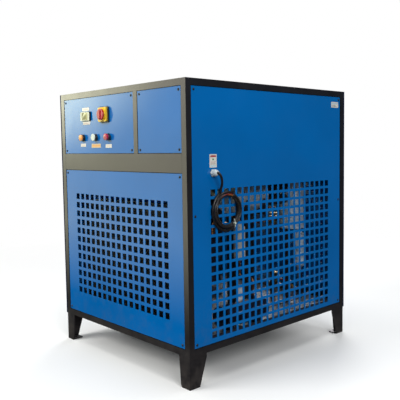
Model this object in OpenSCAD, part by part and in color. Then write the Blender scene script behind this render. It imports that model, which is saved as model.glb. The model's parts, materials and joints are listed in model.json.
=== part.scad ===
// Refrigerated compressed-air dryer, floor standing and air cooled.
// A welded square-tube cabinet carries screwed-on sheet panels, perforated grilles
// and a control panel. Inside are the refrigeration circuit and the air circuit.
// Origin: on the floor, at the centre of the four anchor holes.
// X runs across the cabinet, -Y is the control side, Z is up. Millimetres.

/* [Cabinet] */
// Width of the cabinet across the control side
body_w = 850; // [840:5:900]
// Depth of the cabinet from front to rear
body_d = 965; // [960:5:1020]
// Height of the cabinet without its legs
body_h = 1000; // [980:5:1060]
// Height of the legs below the cabinet
leg_h = 120; // [100:5:160]
// Outside size of the square frame tube
tube = 25; // [24:0.5:26]
// Wall thickness of the frame tube
tube_wall = 2; // [1.5:0.5:3]
// Height of the plain band between the grille and the control panel
band_h = 70; // [50:5:80]
// Height of the band's lower edge above the cabinet's underside
band_z = 665; // [660:5:680]
// Distance of the upper mid post's centre from the left edge
mid_post_x = 555.5; // [540:0.5:580]

/* [Panels] */
// Thickness of the sheet panels
panel_t = 1.5; // [1.5:0.5:2]
// Gap around each panel
panel_gap = 2; // [1:0.5:3]
// How far the panels sit behind the frame's outer faces
panel_recess = 1.5; // [1:0.5:2]
// Distance of a panel screw from the panel's edge
screw_inset = 12; // [10:1:14]
// Width of the strips behind the panels
rest_w = 30; // [26:1:32]
// Thickness of the strips behind the panels
rest_t = 3; // [2:0.5:4]

/* [Front grille] */
// Side of the square holes
front_hole = 25; // [15:0.5:26]
// Pitch of the holes
front_pitch = 38; // [36:0.5:38]
// Holes across
front_cols = 17; // [10:1:17]
// Holes upward
front_rows = 12; // [6:1:12]
// Distance of the first column from the cabinet's left edge
front_first_x = 119; // [100:1:125]
// Height of the lowest row above the cabinet's underside
front_first_z = 130; // [120:1:135]

/* [Side grille] */
// Side of the square holes
side_hole = 24.5; // [18:0.5:26]
// Pitch of the holes
side_pitch = 35.4; // [34:0.1:35.4]
// Holes from front to rear
side_cols = 21; // [12:1:21]
// Holes upward
side_rows = 16; // [8:1:16]
// Distance of the first column from the cabinet's front edge
side_first_y = 128; // [115:1:130]
// Height of the lowest row above the cabinet's underside
side_first_z = 58; // [55:1:70]

/* [Controls] */
// Height of the lamp row above the cabinet's underside
lamp_z = 804; // [790:1:815]
// Distance of the first lamp from the cabinet's left edge
lamp_x = 178; // [160:1:190]
// Spacing of the lamps and the button
lamp_pitch = 96.5; // [80:0.5:110]
// Diameter of the panel hole of a lamp or button
pilot_hole_d = 22.3; // [22:0.1:22.5]
// Travel of the reset button
button_travel = 3; // [2:0.5:4]
// Side of the main switch plate
switch_side = 64; // [60:1:70]
// Distance of the main switch from the cabinet's left edge
switch_x = 346; // [330:1:370]
// Height of the main switch above the cabinet's underside
switch_z = 896; // [890:1:905]
// Distance of the display from the cabinet's left edge
display_x = 206; // [190:1:215]
// Height of the display above the cabinet's underside
display_z = 895; // [890:1:900]

/* [Power cable] */
// Outside diameter of the power cable
cable_d = 9.5; // [8:0.5:10]
// Distance of the cable gland from the cabinet's front edge
gland_y = 130; // [120:1:140]
// Height of the cable gland above the cabinet's underside
gland_z = 662; // [655:1:670]
// Mean radius of the coiled cable
coil_r = 63.5; // [60:0.5:70]

/* [Air connections] */
// Outside diameter of the air pipes
pipe_d = 60.3; // [60:0.1:61]
// Wall of the air pipes
pipe_wall = 3.6; // [3:0.1:4]
// Diameter of the pipe flanges
flange_d = 165; // [160:1:165]
// Thickness of the pipe flanges
flange_t = 18; // [16:1:20]
// Bolt circle of the pipe flanges
flange_pcd = 125; // [120:1:125]
// Diameter of the flange bolt holes
flange_bolt_d = 18; // [14:1:18]
// Number of bolts in a pipe flange
flange_bolts = 4; // [4, 8]
// Projection of the flange faces behind the cabinet
flange_reach = 60; // [50:5:80]

/* [Feet] */
// Distance of the anchor holes from the cabinet's side faces
anchor_inset_x = 23; // [20:1:24]
// Distance of the anchor holes from the cabinet's front and rear faces
anchor_inset_y = 26.5; // [22:0.5:30]
// Diameter of the anchor holes
anchor_d = 14; // [10:1:14]
// Plate thickness of the legs
leg_t = 4; // [3:0.5:5]

/* [Fan] */
// Diameter of the fan
fan_d = 450; // [400:10:450]
// Number of fan blades
fan_blades_n = 5; // [4:1:7]
// Pitch angle of the fan blades
fan_pitch = 28; // [20:1:30]

/* [Hidden] */
$fn = 48;

// Small distances shared by many parts
eps = 1;
run_clear = 0.05;
hair = 0.02;

// Main planes of the cabinet
half_w = body_w / 2;
half_d = body_d / 2;
top_z = leg_h + body_h;
floor_t = 3;
floor_top = leg_h + tube + floor_t;
band_z0 = leg_h + band_z;
band_z1 = band_z0 + band_h;
post_x = mid_post_x - half_w;
rear_bar_z = (band_z0 + band_z1) / 2;

// Openings as [left, right, bottom, top], seen from outside
open_lower = [-half_w + tube, half_w - tube, leg_h + tube, band_z0];
open_control = [-half_w + tube, post_x - tube / 2, band_z1, top_z - tube];
open_blank = [post_x + tube / 2, half_w - tube, band_z1, top_z - tube];
open_side = [-half_d + tube, half_d - tube, leg_h + tube, top_z - tube];
open_rear_low = [-half_w + tube, half_w - tube, leg_h + tube, rear_bar_z - tube / 2];
open_rear_up = [-half_w + tube, half_w - tube, rear_bar_z + tube / 2, top_z - tube];
open_top = [-half_w + tube, half_w - tube, -half_d + tube, half_d - tube];

// Depths behind the frame's outer faces
panel_back = panel_recess + panel_t;
rest_back = panel_back + rest_t;
edge_inset = panel_gap + screw_inset;

// Panel screws
screw_d = 4;
screw_head_d = 9;
screw_head_h = 2.6;
screw_len = 12;
side_mid_z = leg_h + 509;

// Controls
pilot_r = pilot_hole_d / 2;
pilot_z = leg_h + lamp_z;
pilot_x0 = lamp_x - half_w;
face_y = -half_d + panel_recess;
switch_cx = switch_x - half_w;
switch_cz = leg_h + switch_z;
display_cx = display_x - half_w;
display_cz = leg_h + display_z;
switch_base_t = 7;
switch_plate_t = 8;
switch_collar_t = 4;
spindle_r = 4;
knob_r = 23.5;
knob_h = 11;
bezel_r = 14.5;
bezel_h = 9;
lamp_barrel_h = 11;
display_size = [70, 37];
display_body = [66, 30];
display_glass = [42, 30];
display_h = 8.5;
button_bore_r = 8;
button_r = 15;
lens_r = 13.4;

// Cable and gland
cable_r = cable_d / 2;
gland_cy = gland_y - half_d;
gland_cz = leg_h + gland_z;
gland_hole_r = 10.2;
side_face = half_w - panel_recess;
coil_cy = gland_cy + 60;
coil_cz = gland_cz - 143;
coil_x = side_face + cable_d + 1.6;
strand = cable_d - 0.6;

// Condenser and fan
cond_w = 636;
cond_z0 = floor_top + 32;
cond_z1 = leg_h + 525;
cond_y0 = -half_d + 42;
cond_depth = 70;
cond_plate = 2;
cond_lip = 5;
cond_rows = 12;
cond_tube_r = 4.8;
fin_pitch = 8;
fin_t = 1;
fan_cz = (cond_z0 + cond_z1) / 2;
shroud_y = cond_y0 + cond_depth + 2 * cond_lip + 20;
fan_hub_r = 60;
fan_hub_h = 42;
fan_y = shroud_y + 30;
guard_y = fan_y + fan_hub_h / 2 + 8;
guard_t = 3;
motor_r = 65;
motor_l = 100;
shaft_r = 7;

// Compressor
comp = [-190, 60];
comp_r = 115;
comp_foot_z = floor_top + 20;
comp_foot_t = 5;
comp_z0 = comp_foot_z + comp_foot_t;
comp_body_h = 345;
comp_cap = 40;
comp_bolt_pitch = 105;
comp_bolt_d = 10;
spud_z = comp_z0 + comp_body_h + comp_cap + 15;

// Air circuit
ex_x = half_w - 190;
ex_r = 70;
ex_z = leg_h + 545;
ex_y0 = -92;
ex_y1 = 100;
evap_r = 58;
evap_y = 342;
evap_z0 = leg_h + 370;
evap_z1 = leg_h + 604;
link_r = 24;
sep_r = 30;
sep_x = ex_x + 40;
sep_y = evap_y + 3;
sep_z0 = leg_h + 198;
sep_z1 = leg_h + 345;
sep_cap = 12;
port_z = leg_h + 810;
inlet_x = ex_x - 200;
port_y = half_d + flange_reach;
elbow_r = 76;
pipe_r = pipe_d / 2;

// Condensate drain
drain_z = leg_h + 85;
drain_r = 8;
drain_bend = 18;
valve_x = sep_x - 50;
valve_half = 20;
solenoid_x = valve_x - 95;
drain_exit_x = solenoid_x - 50;
stem_top = drain_z + 27;
lever_t = 3;

// Refrigerant circuit
line_r = 4.8;
line_bend = 12;
hot_r = 6.4;
hot_bend = 20;
suction_r = 9.5;
suction_bend = 25;
hot_z = leg_h + 580;
rec_x = half_w - 75;
rec_r = 45;
rec_y0 = -250;
rec_y1 = -10;
rec_z = leg_h + 85;
drier_x = ex_x + 40;
drier_y = -60;
drier_r = 25;
drier_z0 = leg_h + 290;
drier_z1 = drier_z0 + 130;
port_x = ex_x - evap_r - 12;
txv_x = port_x - 40;
txv_z = evap_z0 + 30;
bypass_x = -60;
bypass_y = evap_y - 20;
bypass_z = evap_z0 + 90;
bypass_valve_z = leg_h + 480;
suction_z = evap_z1 - 34;
acc = [-320, evap_y];
acc_r = 50;
acc_top = floor_top + 250;

// Electrical compartment
tray_z = leg_h + 613;
tray_y = -320;
tray_t = 2;
rail_d = 7.5;

// Colours
paint_blue = [0.02, 0.33, 0.65];
frame_grey = [0.16, 0.16, 0.17];
dark = [0.10, 0.10, 0.11];
steel = [0.70, 0.71, 0.72];
foil = [0.80, 0.81, 0.83];
copper = [0.72, 0.40, 0.22];
label_white = [0.90, 0.90, 0.88];

function shrink(o, g) = [o[0] + g, o[1] - g, o[2] + g, o[3] - g];
function corners(o) = [for (x = [o[0], o[1]], z = [o[2], o[3]]) [x, z]];
function unit(v) = v / norm(v);
function side_of(d) = abs(d[2]) < 0.9 ? unit(cross([0, 0, 1], d)) : [1, 0, 0];

// Screw positions on each opening
screws_corner = function (o) corners(shrink(o, edge_inset));
screws_side = concat(screws_corner(open_side),
    [[open_side[0] + edge_inset, side_mid_z], [open_side[1] - edge_inset, side_mid_z]]);
screws_top = concat(screws_corner(open_top),
    [for (s = [-1, 1]) [s * (half_w - tube - edge_inset), 0]],
    [for (s = [-1, 1]) [0, s * (half_d - tube - edge_inset)]]);

// Placement on the outer faces: local x and y lie in the face, local z points outward
module on_front() translate([0, -half_d, 0]) rotate([90, 0, 0]) children();
module on_rear() translate([0, half_d, 0]) rotate([90, 0, 180]) children();
module on_right() translate([half_w, 0, 0]) rotate([90, 0, 90]) children();
module on_left() mirror([1, 0, 0]) on_right() children();
module on_top() translate([0, 0, top_z]) children();

// Axis that runs along +Y from a point
module along_y(p) translate(p) rotate([-90, 0, 0]) children();
module along_x(p) translate(p) rotate([0, 90, 0]) children();

module rect(o) translate([o[0], o[2]]) square([o[1] - o[0], o[3] - o[2]]);

module at_each(points) {
    for (p = points) translate([p[0], p[1], 0]) children();
}

// A right-handed set of axes with z along d, placed at p
module along(p, d) {
    z = unit(d);
    x = side_of(z);
    y = cross(z, x);
    multmatrix([[x[0], y[0], z[0], p[0]], [x[1], y[1], z[1], p[1]],
        [x[2], y[2], z[2], p[2]], [0, 0, 0, 1]]) children();
}

// Quarter bend that leaves p0 - a * r along a and ends at p0 + b * r along b
module bend(p0, a, b, r) {
    c = p0 - a * r + b * r;
    z = cross(a, b);
    multmatrix([[-b[0], a[0], z[0], c[0]], [-b[1], a[1], z[1], c[1]],
        [-b[2], a[2], z[2], c[2]], [0, 0, 0, 1]])
        rotate_extrude(angle = 90) translate([r, 0]) children();
}

// A tube along square-cornered points, with every corner turned into a bend
module route(pts, radius, bend_r, bore = 0) {
    last = len(pts) - 1;
    for (i = [0 : last - 1]) {
        d = unit(pts[i + 1] - pts[i]);
        from = i == 0 ? 0 : bend_r;
        to = i == last - 1 ? 0 : bend_r;
        run = norm(pts[i + 1] - pts[i]) - from - to;
        along(pts[i] + d * from, d) linear_extrude(run) ring(radius, bore);
    }
    if (last > 1)
        for (i = [1 : last - 1])
            bend(pts[i], unit(pts[i] - pts[i - 1]), unit(pts[i + 1] - pts[i]), bend_r)
                ring(radius, bore);
}

module ring(outer, inner) {
    difference() {
        circle(outer);
        if (inner > 0) circle(inner);
    }
}

// Shallow dished end of a vessel, with its base on z = 0
module dished_end(r, h) {
    ball = (r * r + h * h) / (2 * h);
    intersection() {
        translate([0, 0, h - ball]) sphere(ball, $fn = 96);
        cylinder(r = r, h = h + eps);
    }
}

module vessel(r, z0, z1, cap) {
    translate([0, 0, z0]) cylinder(r = r, h = z1 - z0);
    translate([0, 0, z1]) dished_end(r, cap);
    translate([0, 0, z0]) mirror([0, 0, 1]) dished_end(r, cap);
}

// ---------------------------------------------------------------- cabinet

module tube_set(grow) {
    w = tube - 2 * grow;
    // Corner posts, open at the lower end
    for (sx = [-1, 1], sy = [-1, 1])
        translate([sx * (half_w - tube / 2), sy * (half_d - tube / 2),
            (leg_h + top_z) / 2 - grow])
            cube([w, w, body_h], center = true);
    for (z = [leg_h + tube / 2, top_z - tube / 2]) {
        // Rails across the front and rear
        for (sy = [-1, 1])
            translate([0, sy * (half_d - tube / 2), z])
                cube([body_w - 2 * grow, w, w], center = true);
        // Rails along the sides
        for (sx = [-1, 1])
            translate([sx * (half_w - tube / 2), 0, z])
                cube([w, body_d - 2 * grow, w], center = true);
    }
    // Mid post beside the control panel, open at its lower end
    translate([post_x, -half_d + tube / 2, (band_z1 + top_z) / 2 - grow])
        cube([w, w, top_z - band_z1], center = true);
    // Rear crossbar
    translate([0, half_d - tube / 2, rear_bar_z])
        cube([body_w - 2 * grow, w, w], center = true);
    // Cross members under the compressor
    for (s = [-1, 1])
        translate([0, comp[1] + s * comp_bolt_pitch * 1.6, leg_h + tube / 2])
            cube([body_w - 2 * grow, w, w], center = true);
}

// Strip around an opening that a panel lies against
module rest(o, screws) {
    translate([0, 0, -rest_back])
        linear_extrude(rest_t)
            difference() {
                rect(o);
                rect(shrink(o, rest_w));
                for (p = screws)
                    translate(p) circle(d = screw_d + 2 * run_clear);
            }
}

module frame() {
    color(frame_grey) {
        difference() {
            tube_set(0);
            tube_set(tube_wall);
        }
        on_front() rest(open_lower, screws_corner(open_lower));
        on_front() rest(open_control, screws_corner(open_control));
        on_front() rest(open_blank, screws_corner(open_blank));
        on_right() rest(open_side, screws_side);
        on_left() rest(open_side, screws_side);
        on_rear() rest(open_rear_low, screws_corner(open_rear_low));
        on_rear() rest(open_rear_up, screws_corner(open_rear_up));
        on_top() rest(open_top, screws_top);
    }
}

// Folded channel between the front posts, open at its back
module front_crossbar() {
    color(frame_grey)
        translate([-half_w + tube, -half_d, band_z0])
            difference() {
                cube([body_w - 2 * tube, tube, band_h]);
                translate([-eps, tube_wall, tube_wall])
                    cube([body_w, tube, band_h - 2 * tube_wall]);
            }
}

// Outline of a leg plate that narrows from its top to its foot
module leg_flange(top_wide, foot_wide) {
    toe = 6;
    linear_extrude(leg_t)
        polygon([[0, 0], [foot_wide - toe, 0], [foot_wide, toe], [top_wide, leg_h - 12],
            [top_wide, leg_h], [0, leg_h]]);
}

// Leg at the left front corner: two plates at a right angle, a foot and a top plate
module leg() {
    foot = [50, 56];
    translate([-half_w, -half_d, 0]) difference() {
        union() {
            translate([0, leg_t, 0]) rotate([90, 0, 0]) leg_flange(58, 50);
            rotate([90, 0, 90]) leg_flange(85, 52);
            cube([foot[0] - 8, foot[1] - 6, leg_t + 1]);
            translate([0, 0, leg_h - leg_t]) cube([foot[0], foot[1], leg_t]);
        }
        translate([anchor_inset_x, anchor_inset_y, -eps])
            cylinder(d = anchor_d, h = leg_t + 1 + 2 * eps);
    }
}

module legs() {
    color(frame_grey)
        for (sx = [0, 1], sy = [0, 1])
            mirror([sx, 0, 0]) mirror([0, sy, 0]) leg();
}

module base_plate() {
    size = [body_w - 18, body_d - 19];
    notch = tube + 2;
    color(steel)
        translate([0, 0, leg_h + tube])
            linear_extrude(floor_t)
                difference() {
                    square(size, center = true);
                    for (sx = [-1, 1], sy = [-1, 1])
                        translate([sx * half_w, sy * half_d]) square(2 * notch, center = true);
                    comp_holes() circle(d = comp_bolt_d + 2 * run_clear);
                }
}

module panel(o, screws) {
    translate([0, 0, -panel_back])
        linear_extrude(panel_t)
            difference() {
                rect(shrink(o, panel_gap));
                for (p = screws)
                    translate(p) circle(d = screw_d + 1);
                children();
            }
}

// Field of square holes
module hole_field(x, z, cols, rows, pitch, hole) {
    for (i = [0 : cols - 1], j = [0 : rows - 1])
        translate([x + i * pitch, z + j * pitch]) square(hole, center = true);
}

module front_holes() {
    hole_field(front_first_x - half_w, leg_h + front_first_z, front_cols, front_rows,
        front_pitch, front_hole);
}

module side_holes() {
    hole_field(side_first_y - half_d, leg_h + side_first_z, side_cols, side_rows,
        side_pitch, side_hole);
}

module front_grille() {
    color(paint_blue) on_front() panel(open_lower, screws_corner(open_lower)) front_holes();
}

module right_panel() {
    color(paint_blue) on_right() panel(open_side, screws_side) {
        side_holes();
        translate([gland_cy, gland_cz]) circle(gland_hole_r);
    }
}

module left_panel() {
    color(paint_blue) on_left() panel(open_side, screws_side) side_holes();
}

module rear_grille() {
    color(paint_blue) on_rear() panel(open_rear_low, screws_corner(open_rear_low)) {
        mirror([1, 0]) front_holes();
        translate([-drain_exit_x, drain_z]) circle(drain_r + 0.5);
    }
}

module rear_upper_panel() {
    hole_r = pipe_r + 5;
    color(paint_blue) on_rear() panel(open_rear_up, screws_corner(open_rear_up))
        for (x = [inlet_x, ex_x])
            translate([-x, port_z]) circle(hole_r);
}

module top_panel() {
    color(paint_blue) on_top() panel(open_top, screws_top);
}

module blank_panel() {
    color(paint_blue) on_front() panel(open_blank, screws_corner(open_blank));
}

module control_panel() {
    color(paint_blue) on_front() panel(open_control, screws_corner(open_control)) {
        for (i = [0 : 2])
            translate([pilot_x0 + i * lamp_pitch, pilot_z]) circle(pilot_r);
        translate([switch_cx, switch_cz]) circle(pilot_r);
        translate([display_cx, display_cz])
            square([display_body[0] + 0.4, display_body[1] + 0.4], center = true);
    }
}

// Cross-recessed pan-head screw, with the head's underside on z = 0
module screw() {
    recess = 4.6;
    slot = 1.1;
    difference() {
        union() {
            cylinder(d = screw_head_d, h = screw_head_h * 0.45);
            translate([0, 0, screw_head_h * 0.45])
                cylinder(d1 = screw_head_d, d2 = screw_head_d * 0.62, h = screw_head_h * 0.55);
            translate([0, 0, -screw_len]) cylinder(d = screw_d, h = screw_len);
        }
        for (a = [0, 90])
            rotate([0, 0, a]) translate([0, 0, screw_head_h])
                cube([recess, slot, 2.4], center = true);
    }
}

module panel_screws() {
    color(dark) {
        on_front() translate([0, 0, -panel_recess]) {
            at_each(screws_corner(open_lower)) screw();
            at_each(screws_corner(open_control)) screw();
            at_each(screws_corner(open_blank)) screw();
        }
        on_right() translate([0, 0, -panel_recess]) at_each(screws_side) screw();
        on_left() translate([0, 0, -panel_recess]) at_each(screws_side) screw();
        on_rear() translate([0, 0, -panel_recess]) {
            at_each(screws_corner(open_rear_low)) screw();
            at_each(screws_corner(open_rear_up)) screw();
        }
        on_top() translate([0, 0, -panel_recess]) at_each(screws_top) screw();
    }
}

// ---------------------------------------------------------------- controls

// Places a device on the control panel's outer face; local z points to the user
module on_panel(x, z) translate([x, face_y, z]) rotate([90, 0, 0]) children();

module rounded_plate(size, corner, h) {
    linear_extrude(h) {
        square([size[0] - 2 * corner, size[1]], center = true);
        square([size[0], size[1] - 2 * corner], center = true);
        for (sx = [-1, 1], sy = [-1, 1])
            translate([sx * (size[0] / 2 - corner), sy * (size[1] / 2 - corner)])
                circle(corner);
    }
}

module main_switch_base() {
    color(dark) on_panel(switch_cx, switch_cz)
        difference() {
            union() {
                rounded_plate([switch_side, switch_side], 5, switch_base_t);
                translate([0, 0, -panel_t]) cylinder(r = pilot_r - 0.2, h = panel_t + eps);
            }
            translate([0, 0, -panel_t - eps])
                cylinder(r = spindle_r + run_clear, h = panel_t + switch_base_t + 2 * eps);
        }
}

// Square front plate with a round collar under the knob
module main_switch_plate() {
    inner = switch_side - 6;
    color([0.95, 0.78, 0.12]) on_panel(switch_cx, switch_cz)
        translate([0, 0, switch_base_t])
            difference() {
                union() {
                    rounded_plate([inner, inner], 6, switch_plate_t);
                    cylinder(r = knob_r + 4, h = switch_plate_t + switch_collar_t, $fn = 96);
                }
                translate([0, 0, -eps])
                    cylinder(r = spindle_r + run_clear, h = switch_plate_t + switch_collar_t + 2 * eps);
            }
}

// Round knob with a raised grip, and the spindle that turns in the switch
module main_switch_knob() {
    lift = switch_base_t + switch_plate_t + switch_collar_t + 0.2;
    rim = 5;
    bevel = 1.5;
    grip_l = 38;
    grip_w = 12;
    color([0.80, 0.06, 0.05]) on_panel(switch_cx, switch_cz) {
        translate([0, 0, lift]) cylinder(r = knob_r, h = rim, $fn = 96);
        translate([0, 0, lift + rim])
            cylinder(r1 = knob_r, r2 = knob_r - bevel, h = bevel, $fn = 96);
        translate([0, 0, lift + rim + bevel]) {
            translate([-grip_w / 2, -grip_l / 2 + grip_w / 2, 0])
                cube([grip_w, grip_l - grip_w, knob_h - rim - bevel]);
            for (s = [-1, 1])
                translate([0, s * (grip_l - grip_w) / 2, 0])
                    cylinder(d = grip_w, h = knob_h - rim - bevel);
        }
        translate([0, 0, -22]) cylinder(r = spindle_r, h = lift + 22 + eps);
    }
}

module switch_contact_block() {
    color(dark) on_panel(switch_cx, switch_cz)
        difference() {
            translate([0, 0, -panel_t - 45]) rounded_plate([48, 48], 3, 45);
            translate([0, 0, -26]) cylinder(r = spindle_r + run_clear, h = 26);
        }
}

// Square indicator with a raised bezel and a body that passes through the panel
module display_bezel() {
    color([0.30, 0.30, 0.28]) on_panel(display_cx, display_cz)
        difference() {
            union() {
                rounded_plate(display_size, 3, display_h);
                translate([-display_body[0] / 2, -display_body[1] / 2, -50])
                    cube([display_body[0], display_body[1], 51]);
            }
            translate([0, 0, display_h - 1.5]) rounded_plate(display_glass, 1.5, 3);
        }
}

module display_window() {
    fit = [0.2, 0.2];
    color([0.75, 0.72, 0.52]) on_panel(display_cx, display_cz)
        translate([0, 0, display_h - 1.5]) rounded_plate(display_glass - fit, 1.4, 1);
}

module on_pilot(i) on_panel(pilot_x0 + i * lamp_pitch, pilot_z) children();

// Bezels and bodies of both lamps and of the button
module pilot_bodies() {
    neck = pilot_r - 0.1;
    color(dark) {
        for (i = [0, 2])
            on_pilot(i) difference() {
                union() {
                    cylinder(r = bezel_r, h = lamp_barrel_h);
                    translate([0, 0, -42]) cylinder(r = neck, h = 43);
                }
                translate([0, 0, lamp_barrel_h - 3]) cylinder(r = lens_r + run_clear, h = 4);
            }
        on_pilot(1) difference() {
            union() {
                cylinder(r = bezel_r, h = 3);
                cylinder(r = bezel_r - 1, h = bezel_h);
                translate([0, 0, -42]) cylinder(r = neck, h = 43);
            }
            translate([0, 0, -30]) cylinder(r = button_bore_r + run_clear, h = 45);
        }
    }
}

module pilot_locknuts() {
    color(steel)
        for (i = [0 : 2])
            on_pilot(i) translate([0, 0, -panel_t - 5])
                difference() {
                    cylinder(r = 15.5, h = 5, $fn = 6);
                    translate([0, 0, -eps]) cylinder(r = pilot_r - 0.1 + hair, h = 7);
                }
}

// Lamp lens: a short barrel with a rounded front, seated in its bezel
module lens(h) {
    cap = 3.5;
    seat = lamp_barrel_h - 3;
    translate([0, 0, seat]) cylinder(r = lens_r, h = h - cap - seat);
    translate([0, 0, h - cap]) dished_end(lens_r, cap);
}

module amber_lamp() {
    color([0.95, 0.62, 0.12]) on_pilot(0) lens(20);
}

module red_lamp() {
    color([0.80, 0.05, 0.05]) on_pilot(2) lens(22);
}

module reset_button() {
    head_z = bezel_h + button_travel + 0.2;
    color([0.92, 0.92, 0.90]) on_pilot(1) {
        translate([0, 0, head_z]) cylinder(r = button_r, h = 2.3);
        translate([0, 0, head_z + 2.3]) cylinder(r1 = button_r, r2 = button_r - 1.2, h = 1.2);
        translate([0, 0, -24]) cylinder(r = button_bore_r, h = head_z + 24 + eps);
    }
}

module label(x, z, size) {
    on_panel(x, z) rounded_plate(size, 1, 0.8);
}

// Plates under the lamps and the button, then above and below the display
module control_labels() {
    // Offset from the device across and upward, then the plate's size
    under = [[-1, -31.5, 42, 13.5], [2.5, -35, 70, 17], [-1, -37, 44, 15]];
    around = [[-4, 30, 56, 14.5], [0, -29, 58, 13.5]];
    color(label_white) {
        for (i = [0 : 2])
            label(pilot_x0 + i * lamp_pitch + under[i][0], pilot_z + under[i][1],
                [under[i][2], under[i][3]]);
        for (a = around)
            label(display_cx + a[0], display_cz + a[1], [a[2], a[3]]);
    }
}

// ---------------------------------------------------------------- power cable

module on_side(y, z) translate([side_face, y, z]) rotate([90, 0, 90]) children();

module side_labels() {
    color(label_white) {
        on_side(gland_cy + 1, gland_cz + 44) rounded_plate([36, 48.5], 1.5, 0.4);
        on_side(half_d - 67, top_z - 62) rounded_plate([54, 25], 1.5, 0.4);
    }
}

// Cable gland: threaded stem, hexagon, and a dome nut that grips the cable
module cable_gland() {
    color([0.82, 0.83, 0.82]) on_side(gland_cy, gland_cz)
        difference() {
            union() {
                translate([0, 0, -14]) cylinder(r = gland_hole_r - 0.2, h = 15);
                cylinder(r = 15, h = 6, $fn = 6);
                translate([0, 0, 6]) cylinder(r = 12.5, h = 9);
                translate([0, 0, 15]) cylinder(r1 = 12.5, r2 = 8, h = 10);
            }
            translate([0, 0, -15]) cylinder(r = cable_r + run_clear, h = 40);
        }
}

module gland_locknut() {
    color(steel) on_side(gland_cy, gland_cz)
        translate([0, 0, -panel_t - 5])
            difference() {
                cylinder(r = 15, h = 5, $fn = 6);
                translate([0, 0, -eps]) cylinder(r = gland_hole_r - 0.2 + hair, h = 7);
            }
}

// Straight stretch of cable between two points
module stretch(a, b) {
    along(a, b - a) cylinder(r = cable_r, h = norm(b - a));
}

// Cable from the terminals through the gland, down to a tied coil of six turns
module power_cable() {
    inside = half_w - 115;
    out = side_face + 40;
    hang = [out, gland_cy, gland_cz - 24];
    bend_r = 14;
    color(dark) {
        route([hang, [out, gland_cy, gland_cz], [inside, gland_cy, gland_cz],
            [inside, gland_cy, gland_cz + 48]], cable_r, bend_r);
        translate(hang) sphere(cable_r + 0.2);
        stretch(hang, [coil_x, coil_cy - coil_r * 0.6, coil_cz + coil_r * 0.8]);
        translate([coil_x, coil_cy, coil_cz]) rotate([0, 90, 0])
            rotate_extrude($fn = 96)
                for (i = [-1 : 1], j = [-0.5, 0.5])
                    translate([coil_r + i * strand, j * strand]) circle(cable_r);
    }
}

// Strap around the coiled bundle, low on its rear side
module cable_tie() {
    bundle = [2 * strand + cable_d + 0.6, strand + cable_d + 0.6];
    strap = 1.2;
    wide = 4;
    color(label_white)
        translate([coil_x, coil_cy, coil_cz]) rotate([-42, 0, 0]) translate([0, coil_r, 0])
            difference() {
                cube([bundle[1] + 2 * strap, bundle[0] + 2 * strap, wide], center = true);
                cube([bundle[1], bundle[0], wide + eps], center = true);
            }
}

// ---------------------------------------------------------------- electrical side

// Shelf and upright sheet that close off the electrical compartment
module electrical_tray() {
    inner_w = body_w - 2 * tube;
    color(steel) {
        translate([-inner_w / 2, -half_d + rest_back, tray_z])
            cube([inner_w, tray_y + half_d - rest_back, tray_t]);
        translate([-inner_w / 2 + 2, tray_y - tray_t, tray_z])
            cube([inner_w - 4, tray_t, top_z - tube - tray_z - 2]);
    }
}

module din_rails() {
    rail_w = 35;
    color(steel)
        for (z = [leg_h + 730, leg_h + 870])
            translate([-330, tray_y - tray_t - rail_d, z - rail_w / 2]) {
                cube([680, 1, rail_w]);
                translate([0, 0, 5]) cube([680, rail_d, 25]);
            }
}

// Box-shaped device on a rail, with a stepped front
module rail_device(x, z, w, h, d) {
    y1 = tray_y - tray_t - rail_d;
    translate([x, y1 - d * 0.6, z - h / 2]) cube([w, d * 0.6, h]);
    translate([x, y1 - d, z - h * 0.28]) cube([w, d * 0.4 + 1, h * 0.56]);
}

module electrical_devices() {
    low = leg_h + 730;
    high = leg_h + 870;
    color([0.75, 0.76, 0.76]) {
        rail_device(-300, high, 54, 84, 62);
        rail_device(-230, high, 45, 80, 74);
        rail_device(-175, high, 45, 76, 68);
        rail_device(-110, high, 70, 72, 60);
        rail_device(60, high, 90, 80, 60);
        rail_device(-300, low, 72, 50, 50);
        for (i = [0 : 9])
            rail_device(half_w - 165 + i * 8, low, 7.6, 40, 44);
    }
}

module pressure_switches() {
    color([0.45, 0.46, 0.48])
        for (x = [170, 250]) {
            translate([x, tray_y, leg_h + 740]) cube([46, 34, 62]);
            translate([x + 23, tray_y + 17, leg_h + 728]) cylinder(r = 9, h = 13);
        }
}

// ---------------------------------------------------------------- condenser and fan

// Fin pack: upright fins joined by a thin core, drawn as one comb
module condenser_fins() {
    count = floor(cond_w / fin_pitch);
    web = 8;
    color([0.42, 0.43, 0.44])
        translate([0, cond_y0 + cond_depth / 2, cond_z0])
            linear_extrude(cond_z1 - cond_z0) {
                square([cond_w, web], center = true);
                for (i = [0 : count])
                    translate([-count * fin_pitch / 2 + i * fin_pitch, 0])
                        square([fin_t, cond_depth], center = true);
            }
}

module condenser_frame() {
    deep = cond_depth + 2 * cond_lip;
    wide = cond_w + 4;
    color(steel) {
        for (s = [-1, 1])
            translate([s * (wide / 2 + cond_plate / 2), cond_y0 + cond_depth / 2,
                (floor_top + cond_z1 + cond_plate) / 2])
                cube([cond_plate, deep, cond_z1 + cond_plate - floor_top], center = true);
        for (z = [cond_z0 - cond_plate, cond_z1])
            translate([-wide / 2 - 1, cond_y0 - cond_lip, z])
                cube([wide + 2, deep, cond_plate]);
        for (s = [-1, 1])
            translate([s * (wide / 2 - 14), cond_y0 + cond_depth / 2, floor_top + 1])
                cube([30, deep, 2], center = true);
    }
}

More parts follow.
